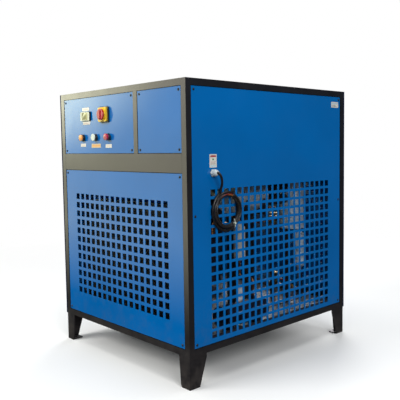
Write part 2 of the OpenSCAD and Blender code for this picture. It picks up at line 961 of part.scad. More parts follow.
// Return bends of the tubes, outside both end plates
module condenser_bends() {
    reach = cond_w / 2 + 2 + cond_plate;
    pitch = (cond_z1 - cond_z0) / cond_rows;
    color(copper)
        for (s = [-1, 1], k = [-1, 1], i = [(s > 0 ? 1 : 2) : 2 : cond_rows - 1])
            translate([s * reach, cond_y0 + cond_depth / 2 + k * 20, cond_z0 + pitch * i])
                rotate([90, 0, s > 0 ? 0 : 180])
                    rotate([0, 0, -90])
                        rotate_extrude(angle = 180)
                            translate([pitch / 2, 0]) circle(cond_tube_r);
}

// Flanged sheet with a ring around the fan
module fan_shroud() {
    wide = cond_w + 8;
    tall = cond_z1 + 5 - floor_top;
    back = cond_y0 + cond_depth + cond_lip;
    ring_r = fan_d / 2 + 8;
    color(steel) {
        difference() {
            translate([-wide / 2, back, floor_top])
                cube([wide, shroud_y + 2 - back, tall]);
            translate([-wide / 2 + 2, back - eps, floor_top + 2])
                cube([wide - 4, shroud_y - back + eps, tall - 4]);
            along_y([0, back, fan_cz]) cylinder(r = ring_r, h = 100, $fn = 96);
        }
        along_y([0, shroud_y, fan_cz]) linear_extrude(34) ring(ring_r + 2, ring_r, $fn = 96);
    }
}

// Wire guard: rings and spokes, carried on four posts by the shroud
module fan_guard() {
    outer = fan_d / 2 + 16;
    wire = 3;
    color(dark) {
        along_y([0, guard_y, fan_cz]) linear_extrude(guard_t) {
            for (r = [motor_r + 18 : 18 : outer - 4])
                difference() {
                    circle(r + wire / 2, $fn = 96);
                    circle(r - wire / 2, $fn = 96);
                }
            difference() {
                circle(motor_r);
                circle(shaft_r + 3);
            }
            for (a = [0 : 45 : 315])
                rotate(a) translate([motor_r - 3, -2]) square([outer - motor_r + 3, 4]);
        }
        for (a = [45 : 90 : 315])
            translate([outer * cos(a), 0, fan_cz + outer * sin(a)])
                along_y([0, shroud_y + 2, 0])
                    cylinder(r = 5, h = guard_y + guard_t - shroud_y - 2);
    }
}

module fan_motor() {
    y0 = guard_y + guard_t;
    fins = 16;
    color(dark)
        difference() {
            union() {
                along_y([0, y0, fan_cz]) cylinder(r = motor_r - 5, h = motor_l);
                along_y([0, y0, fan_cz]) cylinder(r = motor_r, h = 10);
                along_y([0, y0 + motor_l - 12, fan_cz]) cylinder(r = motor_r, h = 12);
                for (i = [0 : fins - 1])
                    translate([0, y0 + 5, fan_cz]) rotate([0, i * 360 / fins, 0])
                        translate([-1.5, 0, motor_r - 10]) cube([3, motor_l - 10, 8]);
            }
            along_y([0, y0 - eps, fan_cz]) cylinder(r = shaft_r + run_clear, h = 61);
        }
}

module fan_shaft() {
    front = fan_y - fan_hub_h / 2;
    color(steel)
        along_y([0, front, fan_cz]) cylinder(r = shaft_r, h = guard_y + guard_t + 55 - front);
}

// Hub with pitched blades
module fan_rotor() {
    tip = fan_d / 2;
    color([0.25, 0.25, 0.27])
        difference() {
            union() {
                along_y([0, fan_y - fan_hub_h / 2, fan_cz]) cylinder(r = fan_hub_r, h = fan_hub_h);
                for (i = [0 : fan_blades_n - 1])
                    translate([0, fan_y, fan_cz]) rotate([0, i * 360 / fan_blades_n, 0])
                        rotate([0, 0, fan_pitch]) rotate([90, 0, 0])
                            translate([0, 0, -1.5]) linear_extrude(3)
                                polygon([[-28, fan_hub_r - 12], [28, fan_hub_r - 12],
                                    [52, tip * 0.72], [44, tip - 14], [-40, tip - 14],
                                    [-52, tip * 0.8]]);
            }
            along_y([0, fan_y - fan_hub_h, fan_cz]) cylinder(r = shaft_r + hair, h = 90);
        }
}

// ---------------------------------------------------------------- compressor

module comp_holes() {
    for (sx = [-1, 1], sy = [-1, 1])
        translate([comp[0] + sx * comp_bolt_pitch, comp[1] + sy * comp_bolt_pitch, 0])
            children();
}

module compressor() {
    foot = 2 * comp_bolt_pitch + 44;
    color(dark) {
        difference() {
            translate([comp[0] - foot / 2, comp[1] - foot / 2, comp_foot_z])
                cube([foot, foot, comp_foot_t]);
            comp_holes() translate([0, 0, comp_foot_z - eps])
                cylinder(d = comp_bolt_d + 2 * run_clear, h = comp_foot_t + 2 * eps);
        }
        translate([comp[0], comp[1], 0]) {
            translate([0, 0, comp_z0 - 2]) cylinder(r = comp_r - 12, h = 12);
            translate([0, 0, comp_z0 + 9]) cylinder(r = comp_r, h = comp_body_h - 9);
            translate([0, 0, comp_z0 + comp_body_h]) dished_end(comp_r, comp_cap);
            translate([0, 0, comp_z0 + comp_body_h * 0.62])
                cylinder(r = comp_r + 4, h = 10);
            translate([0, 0, comp_z0 + comp_body_h]) cylinder(r = 9, h = spud_z - comp_z0 - comp_body_h);
            along_y([0, comp_r - 6, suction_port_z()]) cylinder(r = 12, h = 22);
        }
    }
}

function suction_port_z() = comp_z0 + 300;

module compressor_feet() {
    color([0.13, 0.13, 0.13])
        comp_holes() translate([0, 0, floor_top])
            difference() {
                union() {
                    cylinder(r = 19, h = 8);
                    cylinder(r = 15, h = comp_foot_z - floor_top);
                }
                translate([0, 0, -eps]) cylinder(d = comp_bolt_d + 2 * run_clear, h = 30);
            }
}

module compressor_bolts() {
    head = 9.2;
    under = leg_h + tube;
    over = comp_foot_z + comp_foot_t;
    color(steel)
        comp_holes() {
            translate([0, 0, under - 7]) cylinder(r = head, h = 7, $fn = 6);
            translate([0, 0, under - 1]) cylinder(d = comp_bolt_d, h = over + 12 - under);
            translate([0, 0, over]) cylinder(r = 11, h = 2);
            translate([0, 0, over + 2]) cylinder(r = head, h = 8, $fn = 6);
        }
}

module terminal_cover() {
    size = [74, 46, 96];
    color([0.20, 0.20, 0.22])
        difference() {
            translate([comp[0] - size[0] / 2, comp[1] - comp_r - 34, comp_z0 + 90])
                cube(size);
            translate([comp[0], comp[1], 0]) cylinder(r = comp_r + hair, h = 900, $fn = 96);
        }
}

// ---------------------------------------------------------------- air circuit

// Air-to-air exchanger: insulated shell along Y, clad in foil, with banded ends
module air_exchanger() {
    band = 10;
    color(foil) {
        along_y([ex_x, ex_y0, ex_z]) cylinder(r = ex_r, h = ex_y1 - ex_y0, $fn = 96);
        for (y = [ex_y0, ex_y1 - band])
            along_y([ex_x, y, ex_z]) cylinder(r = ex_r + 2, h = band, $fn = 96);
    }
}

// Upright insulated shell with its refrigerant ports on the left
module evaporator() {
    band = 10;
    color(foil) {
        translate([ex_x, evap_y, evap_z0]) cylinder(r = evap_r, h = evap_z1 - evap_z0, $fn = 96);
        for (z = [evap_z0, evap_z1 - band])
            translate([ex_x, evap_y, z]) cylinder(r = evap_r + 2, h = band, $fn = 96);
        for (p = [[evap_y, txv_z, 7], [bypass_y, bypass_z, 7], [evap_y, suction_z, 13]])
            along_x([port_x, p[0], p[1]]) cylinder(r = p[2], h = 30);
    }
}

module moisture_separator() {
    color(foil) translate([sep_x, sep_y, 0]) {
        vessel(sep_r, sep_z0, sep_z1, sep_cap);
        translate([0, 0, sep_z0 - sep_cap - 22]) cylinder(r = 11, h = sep_cap + 22);
        translate([0, 0, sep_z1]) cylinder(r = 14, h = evap_z0 - sep_z1);
    }
}

// Welding-neck style flange with its sealing face at local z = 0
module flange() {
    translate([0, 0, -flange_t]) linear_extrude(flange_t)
        difference() {
            circle(d = flange_d, $fn = 96);
            circle(pipe_r - pipe_wall);
            for (i = [0 : flange_bolts - 1])
                rotate(180 / flange_bolts + i * 360 / flange_bolts)
                    translate([flange_pcd / 2, 0]) circle(d = flange_bolt_d);
        }
}

// Inlet pipe to the exchanger's side and outlet pipe from its top
module air_pipes() {
    bore = pipe_r - pipe_wall;
    neck = port_y - flange_t;
    color(steel) difference() {
        union() {
            for (x = [inlet_x, ex_x]) along_y([x, port_y, port_z]) flange();
            route([[inlet_x, neck, port_z], [inlet_x, 0, port_z],
                [inlet_x, 0, ex_z], [ex_x, 0, ex_z]], pipe_r, elbow_r, bore);
            route([[ex_x, neck, port_z], [ex_x, 0, port_z],
                [ex_x, 0, ex_z]], pipe_r, elbow_r, bore);
        }
        along_y([ex_x, ex_y0, ex_z])
            cylinder(r = ex_r + hair, h = ex_y1 - ex_y0, $fn = 96);
    }
}

// Foam-covered links between the exchanger and the evaporator
module cold_air_links() {
    color([0.06, 0.06, 0.06]) difference() {
        for (dz = [-30, 30])
            along_y([ex_x, ex_y1, ex_z + dz]) cylinder(r = link_r, h = evap_y - ex_y1);
        translate([ex_x, evap_y, evap_z0]) cylinder(r = evap_r + 2 + hair, h = 400, $fn = 96);
    }
}

// Saddle plates for the exchanger and a small table for the evaporator, on one foot
module exchanger_stand() {
    plate_t = 4;
    post = 15;
    column = [ex_x - 50, ex_x + 10];
    head = ex_r + 10;
    table = [ex_x - 90, ex_x + 20];
    table_y = [evap_y - 52, evap_y + 53];
    color(frame_grey) {
        for (y = [-45, 60])
            translate([0, y + plate_t, 0]) rotate([90, 0, 0]) linear_extrude(plate_t)
                difference() {
                    union() {
                        translate([column[0], floor_top])
                            square([column[1] - column[0], ex_z - floor_top]);
                        translate([ex_x - head, ex_z - ex_r - 12])
                            square([2 * head, ex_r]);
                    }
                    translate([ex_x, ex_z]) circle(ex_r + run_clear, $fn = 96);
                }
        translate([table[0], -45, floor_top])
            cube([table[1] - table[0], table_y[1] + 45, 3]);
        translate([table[0], table_y[0], evap_z0 - plate_t])
            cube([table[1] - table[0], table_y[1] - table_y[0], plate_t]);
        for (x = [table[0], table[1] - post], y = [table_y[0], table_y[1] - post])
            translate([x, y, floor_top]) cube([post, post, evap_z0 - floor_top - eps]);
    }
}

module drain_pipe() {
    sep_out = sep_z0 - sep_cap - 22;
    inner = drain_r - 1.5;
    nut_t = 6;
    color(steel) {
        route([[sep_x, sep_y, sep_out], [sep_x, sep_y, drain_z],
            [valve_x + valve_half, sep_y, drain_z]], drain_r, drain_bend, inner);
        route([[valve_x - valve_half, sep_y, drain_z],
            [solenoid_x + valve_half, sep_y, drain_z]], drain_r, drain_bend, inner);
        route([[solenoid_x - valve_half, sep_y, drain_z], [drain_exit_x, sep_y, drain_z],
            [drain_exit_x, half_d + 30, drain_z]], drain_r, drain_bend, inner);
        for (y = [half_d - panel_back - nut_t, half_d - panel_recess])
            along_y([drain_exit_x, y, drain_z]) linear_extrude(nut_t)
                difference() {
                    circle(13, $fn = 6);
                    circle(drain_r - 0.5);
                }
    }
}

// Ball valve, then the electric drain valve with its coil
module drain_valve() {
    color([0.76, 0.62, 0.30]) {
        difference() {
            union() {
                along_x([valve_x - valve_half, sep_y, drain_z])
                    cylinder(r = 13, h = 2 * valve_half, $fn = 6);
                translate([valve_x, sep_y, drain_z]) sphere(15);
                translate([valve_x, sep_y, drain_z]) cylinder(r = 7, h = stem_top - drain_z - 4);
            }
            translate([valve_x, sep_y, stem_top - 16]) cylinder(r = 3 + run_clear, h = 20);
        }
        along_x([solenoid_x - valve_half, sep_y, drain_z])
            cylinder(r = 13, h = 2 * valve_half, $fn = 6);
        translate([solenoid_x, sep_y, drain_z]) cylinder(r = 6, h = 22);
        translate([solenoid_x - 16, sep_y - 15, drain_z + 20]) cube([32, 30, 40]);
    }
}

// Lever that lies along the pipe when the valve is open
module drain_lever() {
    color([0.80, 0.10, 0.08])
        translate([valve_x, sep_y, stem_top]) {
            translate([0, 0, -14]) cylinder(r = 3, h = 15);
            linear_extrude(lever_t) {
                circle(9);
                translate([-58, -6]) square([58, 12]);
                translate([-58, 0]) circle(6);
            }
        }
}

// ---------------------------------------------------------------- refrigerant circuit

module liquid_receiver() {
    saddle = 20;
    color(dark) {
        along_y([rec_x, rec_y0, rec_z]) cylinder(r = rec_r, h = rec_y1 - rec_y0);
        for (y = [rec_y0 + 30, rec_y1 - 50])
            translate([rec_x - 25, y, floor_top]) cube([50, saddle, rec_z - floor_top]);
        translate([rec_x, drier_y, rec_z]) cylinder(r = 8, h = rec_r + 12);
    }
}

module filter_drier() {
    tail = 14;
    color([0.85, 0.86, 0.86])
        translate([drier_x, drier_y, 0]) {
            translate([0, 0, drier_z0]) cylinder(r = drier_r, h = drier_z1 - drier_z0);
            translate([0, 0, drier_z0 - tail]) cylinder(r1 = 7, r2 = drier_r - 2, h = tail);
            translate([0, 0, drier_z1]) cylinder(r1 = drier_r - 2, r2 = 7, h = tail);
        }
}

// Expansion valve at the evaporator and the hot-gas bypass valve
module refrigerant_valves() {
    body = [30, 30, 40];
    color([0.76, 0.62, 0.30]) {
        translate([txv_x, evap_y, txv_z]) cube(body, center = true);
        translate([txv_x, evap_y, txv_z + body[2] / 2 - 1]) cylinder(r = 8, h = 10);
        translate([txv_x, evap_y, txv_z + body[2] / 2 + 8]) cylinder(r = 19, h = 8);
        translate([bypass_x, bypass_y, bypass_valve_z]) cylinder(r = 20, h = 50, $fn = 6);
        along_x([bypass_x, bypass_y, bypass_valve_z + 25]) cylinder(r = 12, h = 45);
    }
}

module suction_accumulator() {
    color(dark) {
        translate([acc[0], acc[1], floor_top]) cylinder(r = acc_r, h = acc_top - floor_top - 15);
        translate([acc[0], acc[1], acc_top - 15]) dished_end(acc_r, 12);
        for (dx = [-18, 22])
            translate([acc[0] + dx, acc[1], acc_top - 16]) cylinder(r = 12, h = 26);
    }
}

module refrigerant_lines() {
    plate_x = cond_w / 2 + 2 + cond_plate;
    cond_mid = cond_y0 + cond_depth / 2;
    out_x = plate_x + 43;
    discharge_end = cond_z1 - 45;
    drier_in = drier_z0 - 14;
    drier_out = drier_z1 + 14;
    drop = rec_z + rec_r + 80;
    rise = drier_out + 24;
    rec_top = rec_z + rec_r + 12;
    acc_port = acc_top + 10;
    comp_port = suction_port_z();
    color(copper) {
        // Hot gas from the compressor to the condenser, with the bypass branch
        route([[comp[0], comp[1], spud_z], [comp[0], comp[1], hot_z],
            [comp[0], cond_mid, hot_z], [-out_x, cond_mid, hot_z],
            [-out_x, cond_mid, discharge_end], [-plate_x, cond_mid, discharge_end]],
            hot_r, hot_bend);
        route([[comp[0], drier_y, hot_z], [bypass_x, drier_y, hot_z],
            [bypass_x, bypass_y, hot_z], [bypass_x, bypass_y, bypass_valve_z + 50]],
            line_r, line_bend);
        // Bypass valve to the evaporator
        route([[bypass_x, bypass_y, bypass_valve_z], [bypass_x, bypass_y, bypass_z],
            [port_x, bypass_y, bypass_z]], line_r, line_bend);
        // Condenser to receiver, receiver to drier, drier to expansion valve
        route([[plate_x, cond_mid, rec_z], [rec_x, cond_mid, rec_z],
            [rec_x, rec_y0, rec_z]], line_r, line_bend);
        route([[rec_x, drier_y, rec_top], [rec_x, drier_y, drop],
            [drier_x, drier_y, drop], [drier_x, drier_y, drier_in]],
            line_r, line_bend);
        route([[drier_x, drier_y, drier_out], [drier_x, drier_y, rise],
            [txv_x, drier_y, rise], [txv_x, drier_y, txv_z], [txv_x, evap_y - 15, txv_z]],
            line_r, line_bend);
        route([[txv_x + 15, evap_y, txv_z], [port_x, evap_y, txv_z]], line_r, line_bend);
        // Evaporator to accumulator, accumulator to compressor
        route([[port_x, evap_y, suction_z], [acc[0] - 18, evap_y, suction_z],
            [acc[0] - 18, acc[1], acc_port]], suction_r, suction_bend);
        route([[acc[0] + 22, acc[1], acc_port], [acc[0] + 22, acc[1], comp_port],
            [comp[0], acc[1], comp_port], [comp[0], comp[1] + comp_r + 16, comp_port]],
            suction_r, suction_bend);
    }
}

frame();
front_crossbar();
legs();
base_plate();
top_panel();
control_panel();
blank_panel();
front_grille();
right_panel();
left_panel();
rear_upper_panel();
rear_grille();
panel_screws();
main_switch_base();
main_switch_plate();
main_switch_knob();
switch_contact_block();
display_bezel();
display_window();
pilot_bodies();
pilot_locknuts();
amber_lamp();
red_lamp();
reset_button();
control_labels();
side_labels();
cable_gland();
gland_locknut();
power_cable();
cable_tie();
electrical_tray();
din_rails();
electrical_devices();
pressure_switches();
condenser_fins();
condenser_frame();
condenser_bends();
fan_shroud();
fan_guard();
fan_motor();
fan_shaft();
fan_rotor();
compressor();
compressor_feet();
compressor_bolts();
terminal_cover();
air_exchanger();
evaporator();
moisture_separator();
air_pipes();
cold_air_links();
exchanger_stand();
drain_pipe();
drain_valve();
drain_lever();
liquid_receiver();
filter_drier();
refrigerant_valves();
suction_accumulator();
refrigerant_lines();
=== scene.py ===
"""Looks of a floor-standing refrigerated air dryer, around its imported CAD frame."""

import json
import math
import random

import bmesh
import bpy
from mathutils import Matrix, Vector, noise


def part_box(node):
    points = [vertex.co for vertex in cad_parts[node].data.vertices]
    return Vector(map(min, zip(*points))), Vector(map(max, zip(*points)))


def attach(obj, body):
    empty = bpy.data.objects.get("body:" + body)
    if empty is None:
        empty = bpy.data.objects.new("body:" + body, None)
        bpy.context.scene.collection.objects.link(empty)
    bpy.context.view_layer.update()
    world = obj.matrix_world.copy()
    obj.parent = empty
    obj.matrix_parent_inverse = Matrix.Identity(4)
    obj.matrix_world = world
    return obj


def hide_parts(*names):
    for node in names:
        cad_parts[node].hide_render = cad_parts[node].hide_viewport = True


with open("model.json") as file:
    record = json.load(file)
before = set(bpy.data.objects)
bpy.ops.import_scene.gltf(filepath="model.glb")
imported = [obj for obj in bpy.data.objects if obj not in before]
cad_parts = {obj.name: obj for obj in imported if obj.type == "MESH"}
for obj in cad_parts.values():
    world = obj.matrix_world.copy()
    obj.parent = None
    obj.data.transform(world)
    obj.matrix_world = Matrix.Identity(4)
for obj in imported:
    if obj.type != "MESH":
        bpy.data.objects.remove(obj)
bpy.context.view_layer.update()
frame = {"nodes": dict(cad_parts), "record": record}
NODES = frame["nodes"]
MM = 0.001
SEED = 7
WELD_GAP = 0.01 * MM        # vertices closer than this are one

# Heights that the dust on the paint follows
LEG_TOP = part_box("legs")[1].z
DUST_TOP = LEG_TOP + 0.25


# ------------------------------------------------------------------ shader helpers


class Shader:
    """One procedural material, with short calls that add and link nodes."""

    def __init__(self, name):
        self.material = bpy.data.materials.new(name)
        self.material.use_nodes = True
        self.tree = self.material.node_tree
        self.tree.nodes.clear()
        self.bsdf = self.add("ShaderNodeBsdfPrincipled")
        self.out = self.add("ShaderNodeOutputMaterial")
        self.surface(self.bsdf.outputs["BSDF"])
        place = self.add("ShaderNodeTexCoord")
        self.place = place.outputs["Object"]

    def add(self, kind, **settings):
        node = self.tree.nodes.new(kind)
        for key, value in settings.items():
            setattr(node, key, value)
        return node

    def link(self, source, target):
        self.tree.links.new(source, target)

    def surface(self, shader):
        """Makes a shader the material's surface."""
        self.link(shader, self.out.inputs["Surface"])

    def feed(self, target, value):
        """Sets an input to a number or colour, or links a socket to it."""
        if isinstance(value, bpy.types.NodeSocket):
            self.link(value, target)
        elif isinstance(value, (tuple, list)):
            target.default_value = (*value, 1.0) if len(value) == 3 and target.type == "RGBA" else value
        else:
            target.default_value = value

    def set(self, **inputs):
        for key, value in inputs.items():
            self.feed(self.bsdf.inputs[key.replace("_", " ")], value)
        return self

    def scaled(self, x, y, z, source=None):
        node = self.add("ShaderNodeMapping")
        self.link(source or self.place, node.inputs["Vector"])
        node.inputs["Scale"].default_value = (x, y, z)
        return node.outputs["Vector"]

    def noise(self, scale, detail=3.0, rough=0.5, warp=0.0, source=None):
        node = self.add("ShaderNodeTexNoise")
        self.link(source or self.place, node.inputs["Vector"])
        node.inputs["Scale"].default_value = scale
        node.inputs["Detail"].default_value = detail
        node.inputs["Roughness"].default_value = rough
        node.inputs["Distortion"].default_value = warp
        return node.outputs["Fac"]

    def cells(self, scale, feature="F1", out="Distance"):
        node = self.add("ShaderNodeTexVoronoi", feature=feature)
        self.link(self.place, node.inputs["Vector"])
        node.inputs["Scale"].default_value = scale
        return node.outputs[out]

    def ramp(self, value, low, high, start=0.0, end=1.0):
        """Maps value from low..high to start..end, clamped."""
        node = self.add("ShaderNodeMapRange", clamp=True)
        self.link(value, node.inputs["Value"])
        node.inputs["From Min"].default_value = low
        node.inputs["From Max"].default_value = high
        node.inputs["To Min"].default_value = start
        node.inputs["To Max"].default_value = end
        return node.outputs["Result"]

    def math(self, operation, a, b=0.0):
        node = self.add("ShaderNodeMath", operation=operation)
        self.feed(node.inputs[0], a)
        self.feed(node.inputs[1], b)
        return node.outputs[0]

    def mix(self, share, a, b):
        node = self.add("ShaderNodeMix", data_type="RGBA")
        self.feed(node.inputs[0], share)
        self.feed(node.inputs[6], a)
        self.feed(node.inputs[7], b)
        return node.outputs[2]

    def emission(self, colour):
        node = self.add("ShaderNodeEmission")
        node.inputs["Color"].default_value = (*colour, 1)
        return node

    def blend(self, share, a, b):
        """Mixes two shaders."""
        node = self.add("ShaderNodeMixShader")
        self.link(share, node.inputs[0])
        self.link(a, node.inputs[1])
        self.link(b, node.inputs[2])
        return node.outputs[0]

    def axis(self, name, source=None):
        node = self.add("ShaderNodeSeparateXYZ")
        self.link(source or self.place, node.inputs["Vector"])
        return node.outputs[name]

    def facing(self, name):
        """Component of the surface normal along an axis."""
        node = self.add("ShaderNodeNewGeometry")
        return self.axis(name, node.outputs["True Normal"])

    def bump(self, height, depth, below=None):
        """Surface relief of the given depth in metres, on top of another relief."""
        node = self.add("ShaderNodeBump")
        node.inputs["Distance"].default_value = depth
        self.link(height, node.inputs["Height"])
        if below:
            self.link(below, node.inputs["Normal"])
        return node.outputs["Normal"]

    def ao_crevice_shade(self, reach):
        """Ambient-occlusion mask for painted shade: 1 in tight corners and along joints, 0 on open faces."""
        node = self.add("ShaderNodeAmbientOcclusion", samples=6)
        node.inputs["Distance"].default_value = reach
        return self.ramp(node.outputs["AO"], 0.45, 0.9, 1.0, 0.0)

    def band(self, value, centre, half):
        """1 within half of centre, 0 outside."""
        away = self.math("ABSOLUTE", self.math("SUBTRACT", value, centre))
        return self.math("LESS_THAN", away, half)


# ------------------------------------------------------------------ materials


def painted_sheet(name, colour, gloss=0.10, ripple=0.0016, shine=0.5):
    """Sprayed and baked enamel on sheet metal: rolled waves, orange peel, smudges and dust, with painted
    shade and less shine in its joints and corners.
    """
    s = Shader(name)
    tone = s.ramp(s.noise(2.1, 3), 0.3, 0.7)
    paint = s.mix(tone, tuple(c * 0.90 for c in colour), tuple(min(1.0, c * 1.08) for c in colour))
    low = s.ramp(s.axis("Z"), DUST_TOP, LEG_TOP)
    grime = s.math("MULTIPLY", s.ramp(s.noise(26, 6, 0.65), 0.45, 0.8), s.math("MULTIPLY", low, 0.22))
    paint = s.mix(grime, paint, (0.10, 0.10, 0.09))
    scuffs = s.ramp(s.noise(9, 5, 0.7, 1.5, s.scaled(1, 1, 7)), 0.70, 0.74, 0.0, 0.16)
    paint = s.mix(scuffs, paint, (0.22, 0.30, 0.38))
    smudge = s.ramp(s.noise(5.5, 5, 0.6, 0.8), 0.35, 0.75, gloss, gloss + 0.12)
    streak = s.ramp(s.noise(14, 3, 0.5, 0.2, s.scaled(6, 6, 0.5)), 0.5, 0.8, 0.0, 0.05)
    rough = s.math("ADD", s.math("ADD", smudge, streak), s.math("MULTIPLY", grime, 1.2))
    waves = s.bump(s.noise(2.4, 2, 0.45, 0.6), ripple * 4)
    peel = s.bump(s.noise(420, 2, 0.4), 0.00002, waves)
    # Painted shade: the paint turns navy black and loses its shine where ambient occlusion finds corners and
    # joints.
    crevice_shade = s.ao_crevice_shade(5 * MM)
    paint = s.mix(s.math("MULTIPLY", crevice_shade, 0.6), paint, (0.0, 0.012, 0.035))
    s.set(Base_Color=paint, Roughness=rough, Normal=peel, IOR=1.5)
    s.set(Specular_IOR_Level=s.ramp(crevice_shade, 0.0, 1.0, shine, 0.1))
    return s.material


def frame_paint(name, colour, wear=0.0, rough=0.36, shine=0.5):
    """Black powder coat on welded tube: fine pebble, dusty low parts, rubbed spots, and painted shade with
    less shine in its joints and corners.
    """
    s = Shader(name)
    base = s.mix(s.ramp(s.noise(9, 4), 0.3, 0.7), colour, tuple(c * 1.5 + 0.002 for c in colour))
    low = s.ramp(s.axis("Z"), LEG_TOP * 1.6, 0.0)
    dust = s.math("MULTIPLY", s.ramp(s.noise(34, 6, 0.7), 0.35, 0.7), s.math("MULTIPLY", low, 0.35))
    base = s.mix(dust, base, (0.13, 0.11, 0.09))
    rub = s.ramp(s.noise(48, 5, 0.7), 0.68, 0.72, 0.0, 0.3)
    base = s.mix(rub, base, (0.07, 0.07, 0.075))
    if wear:
        spots = s.ramp(s.noise(60, 6, 0.75), 0.71, 0.76, 0.0, wear)
        base = s.mix(spots, base, (0.10, 0.04, 0.02))
    satin = s.ramp(s.noise(16, 4), 0.3, 0.8, rough - 0.05, rough + 0.08)
    waves = s.bump(s.noise(11, 2), 0.0005)
    pebble = s.bump(s.noise(900, 2, 0.5), 0.00003, waves)
    # Painted shade: the coat turns black and loses its shine where ambient occlusion finds corners and
    # joints.
    crevice_shade = s.ao_crevice_shade(7 * MM)
    base = s.mix(s.math("MULTIPLY", crevice_shade, 0.8), base, (0.002, 0.002, 0.002))
    s.set(Base_Color=base, Roughness=s.math("ADD", satin, s.math("MULTIPLY", dust, 0.6)), Normal=pebble)
    s.set(IOR=1.5, Specular_IOR_Level=s.ramp(crevice_shade, 0.0, 1.0, shine, 0.05))
    s.set(Specular_Tint=(1.0, 0.88, 1.0))
    return s.material


def galvanised(name, colour):
    """Zinc-coated sheet with its spangle."""
    s = Shader(name)
    spangle = s.cells(60, out="Color")
    grey = s.axis("X", spangle)
    base = s.mix(s.ramp(grey, 0, 1, 0.0, 0.6), colour, tuple(c * 0.72 for c in colour))
    stain = s.ramp(s.noise(9, 5, 0.6), 0.5, 0.8, 0.0, 0.5)
    base = s.mix(stain, base, (0.22, 0.20, 0.18))
    rough = s.ramp(grey, 0, 1, 0.5, 0.68)
    s.set(Base_Color=base, Metallic=0.95, Roughness=rough, Normal=s.bump(s.noise(160, 3), 0.00008))
    return s.material


def plain_metal(name, colour, rough=0.3, stain=(0.2, 0.18, 0.16), amount=0.4, metallic=1.0):
    """Drawn or machined metal with faint lines and tarnish."""
    s = Shader(name)
    lines = s.noise(90, 3, 0.5, 0.0, s.scaled(1, 14, 1))
    tarnish = s.ramp(s.noise(22, 5, 0.65), 0.45, 0.8, 0.0, amount)
    base = s.mix(tarnish, s.mix(s.ramp(lines, 0.3, 0.7), tuple(c * 0.86 for c in colour), colour), stain)
    roughness = s.math("ADD", s.ramp(lines, 0.3, 0.7, rough - 0.05, rough + 0.08),
                       s.math("MULTIPLY", tarnish, 0.4))
    s.set(Base_Color=base, Metallic=metallic, Roughness=roughness, Normal=s.bump(lines, 0.00004))
    return s.material


def plastic(name, colour, rough=0.35, grain=0.00004, fade=1.25):
    """Moulded plastic with a fine spark-eroded grain and handling marks."""
    s = Shader(name)
    tone = s.ramp(s.noise(60, 4), 0.3, 0.7)
    base = s.mix(tone, tuple(c * 0.88 for c in colour), tuple(min(1, c * fade) for c in colour))
    dirt = s.ramp(s.noise(130, 5, 0.7), 0.6, 0.8, 0.0, 0.25)
    base = s.mix(dirt, base, tuple(c * 0.45 + 0.01 for c in colour))
    roughness = s.ramp(s.noise(210, 4), 0.3, 0.75, rough - 0.07, rough + 0.12)
    s.set(Base_Color=base, Roughness=roughness, Normal=s.bump(s.noise(2600, 2), grain), IOR=1.49)
    return s.material


def lens_plastic(name, colour, glow):
    """Tinted lamp lens with a moulded prism grain and the filament's faint shine."""
    s = Shader(name)
    ribs = s.cells(420)
    base = s.mix(s.ramp(ribs, 0.0, 0.6), tuple(min(1, c * 1.3 + 0.02) for c in colour), colour)
    roughness = s.ramp(s.noise(300, 3), 0.3, 0.7, 0.08, 0.2)
    s.set(Base_Color=base, Roughness=roughness, Normal=s.bump(ribs, 0.0001), IOR=1.49)
    s.set(Subsurface_Weight=0.25, Subsurface_Radius=(0.01, 0.004, 0.002), Subsurface_Scale=0.4)
    s.set(Emission_Color=(*colour, 1.0), Emission_Strength=glow, Coat_Weight=0.6, Coat_Roughness=0.04)
    return s.material


def rubber(name, colour, rough=0.55):
    """Dark rubber or soft PVC: bloom, dust and a slight matt texture."""
    s = Shader(name)
    bloom = s.ramp(s.noise(45, 5, 0.6), 0.45, 0.8, 0.0, 0.35)
    base = s.mix(bloom, colour, tuple(c * 2.2 + 0.012 for c in colour))
    roughness = s.ramp(s.noise(120, 4), 0.3, 0.7, rough - 0.12, rough + 0.1)
    s.set(Base_Color=base, Roughness=roughness, Normal=s.bump(s.noise(900, 3), 0.00006), IOR=1.5)
    return s.material


def foil(name):
    """Crumpled aluminium foil over insulation, dulled by dust; its colours are tinted blue and kept dim as
    painted shade of the closed blue cabinet.
    """
    s = Shader(name)
    creases = s.cells(34, "DISTANCE_TO_EDGE")
    fine = s.noise(110, 4, 0.6, 1.2)
    # Painted shade: the silver is tinted blue and kept dim, and the darker blue-grey dust patches carry the
    # same painted shade.
    base = s.mix(s.ramp(fine, 0.3, 0.7), (0.58, 0.68, 0.80), (0.78, 0.86, 0.94))
    dust = s.ramp(s.noise(14, 5, 0.6), 0.4, 0.75, 0.0, 0.55)
    base = s.mix(dust, base, (0.30, 0.36, 0.44))
    normal = s.bump(s.ramp(creases, 0.0, 0.25), 0.002)
    normal = s.bump(fine, 0.001, normal)
    rough = s.math("ADD", s.ramp(fine, 0.2, 0.8, 0.22, 0.42), s.math("MULTIPLY", dust, 0.3))
    s.set(Base_Color=base, Metallic=0.25, Roughness=rough, Normal=normal)
    return s.material


def foam(name):
    """Closed-cell foam insulation with its skin."""
    s = Shader(name)
    cells = s.cells(700)
    base = s.mix(s.ramp(s.noise(30), 0.3, 0.7), (0.010, 0.010, 0.011), (0.028, 0.027, 0.027))
    s.set(Base_Color=base, Roughness=0.82, Normal=s.bump(cells, 0.0003))
    return s.material


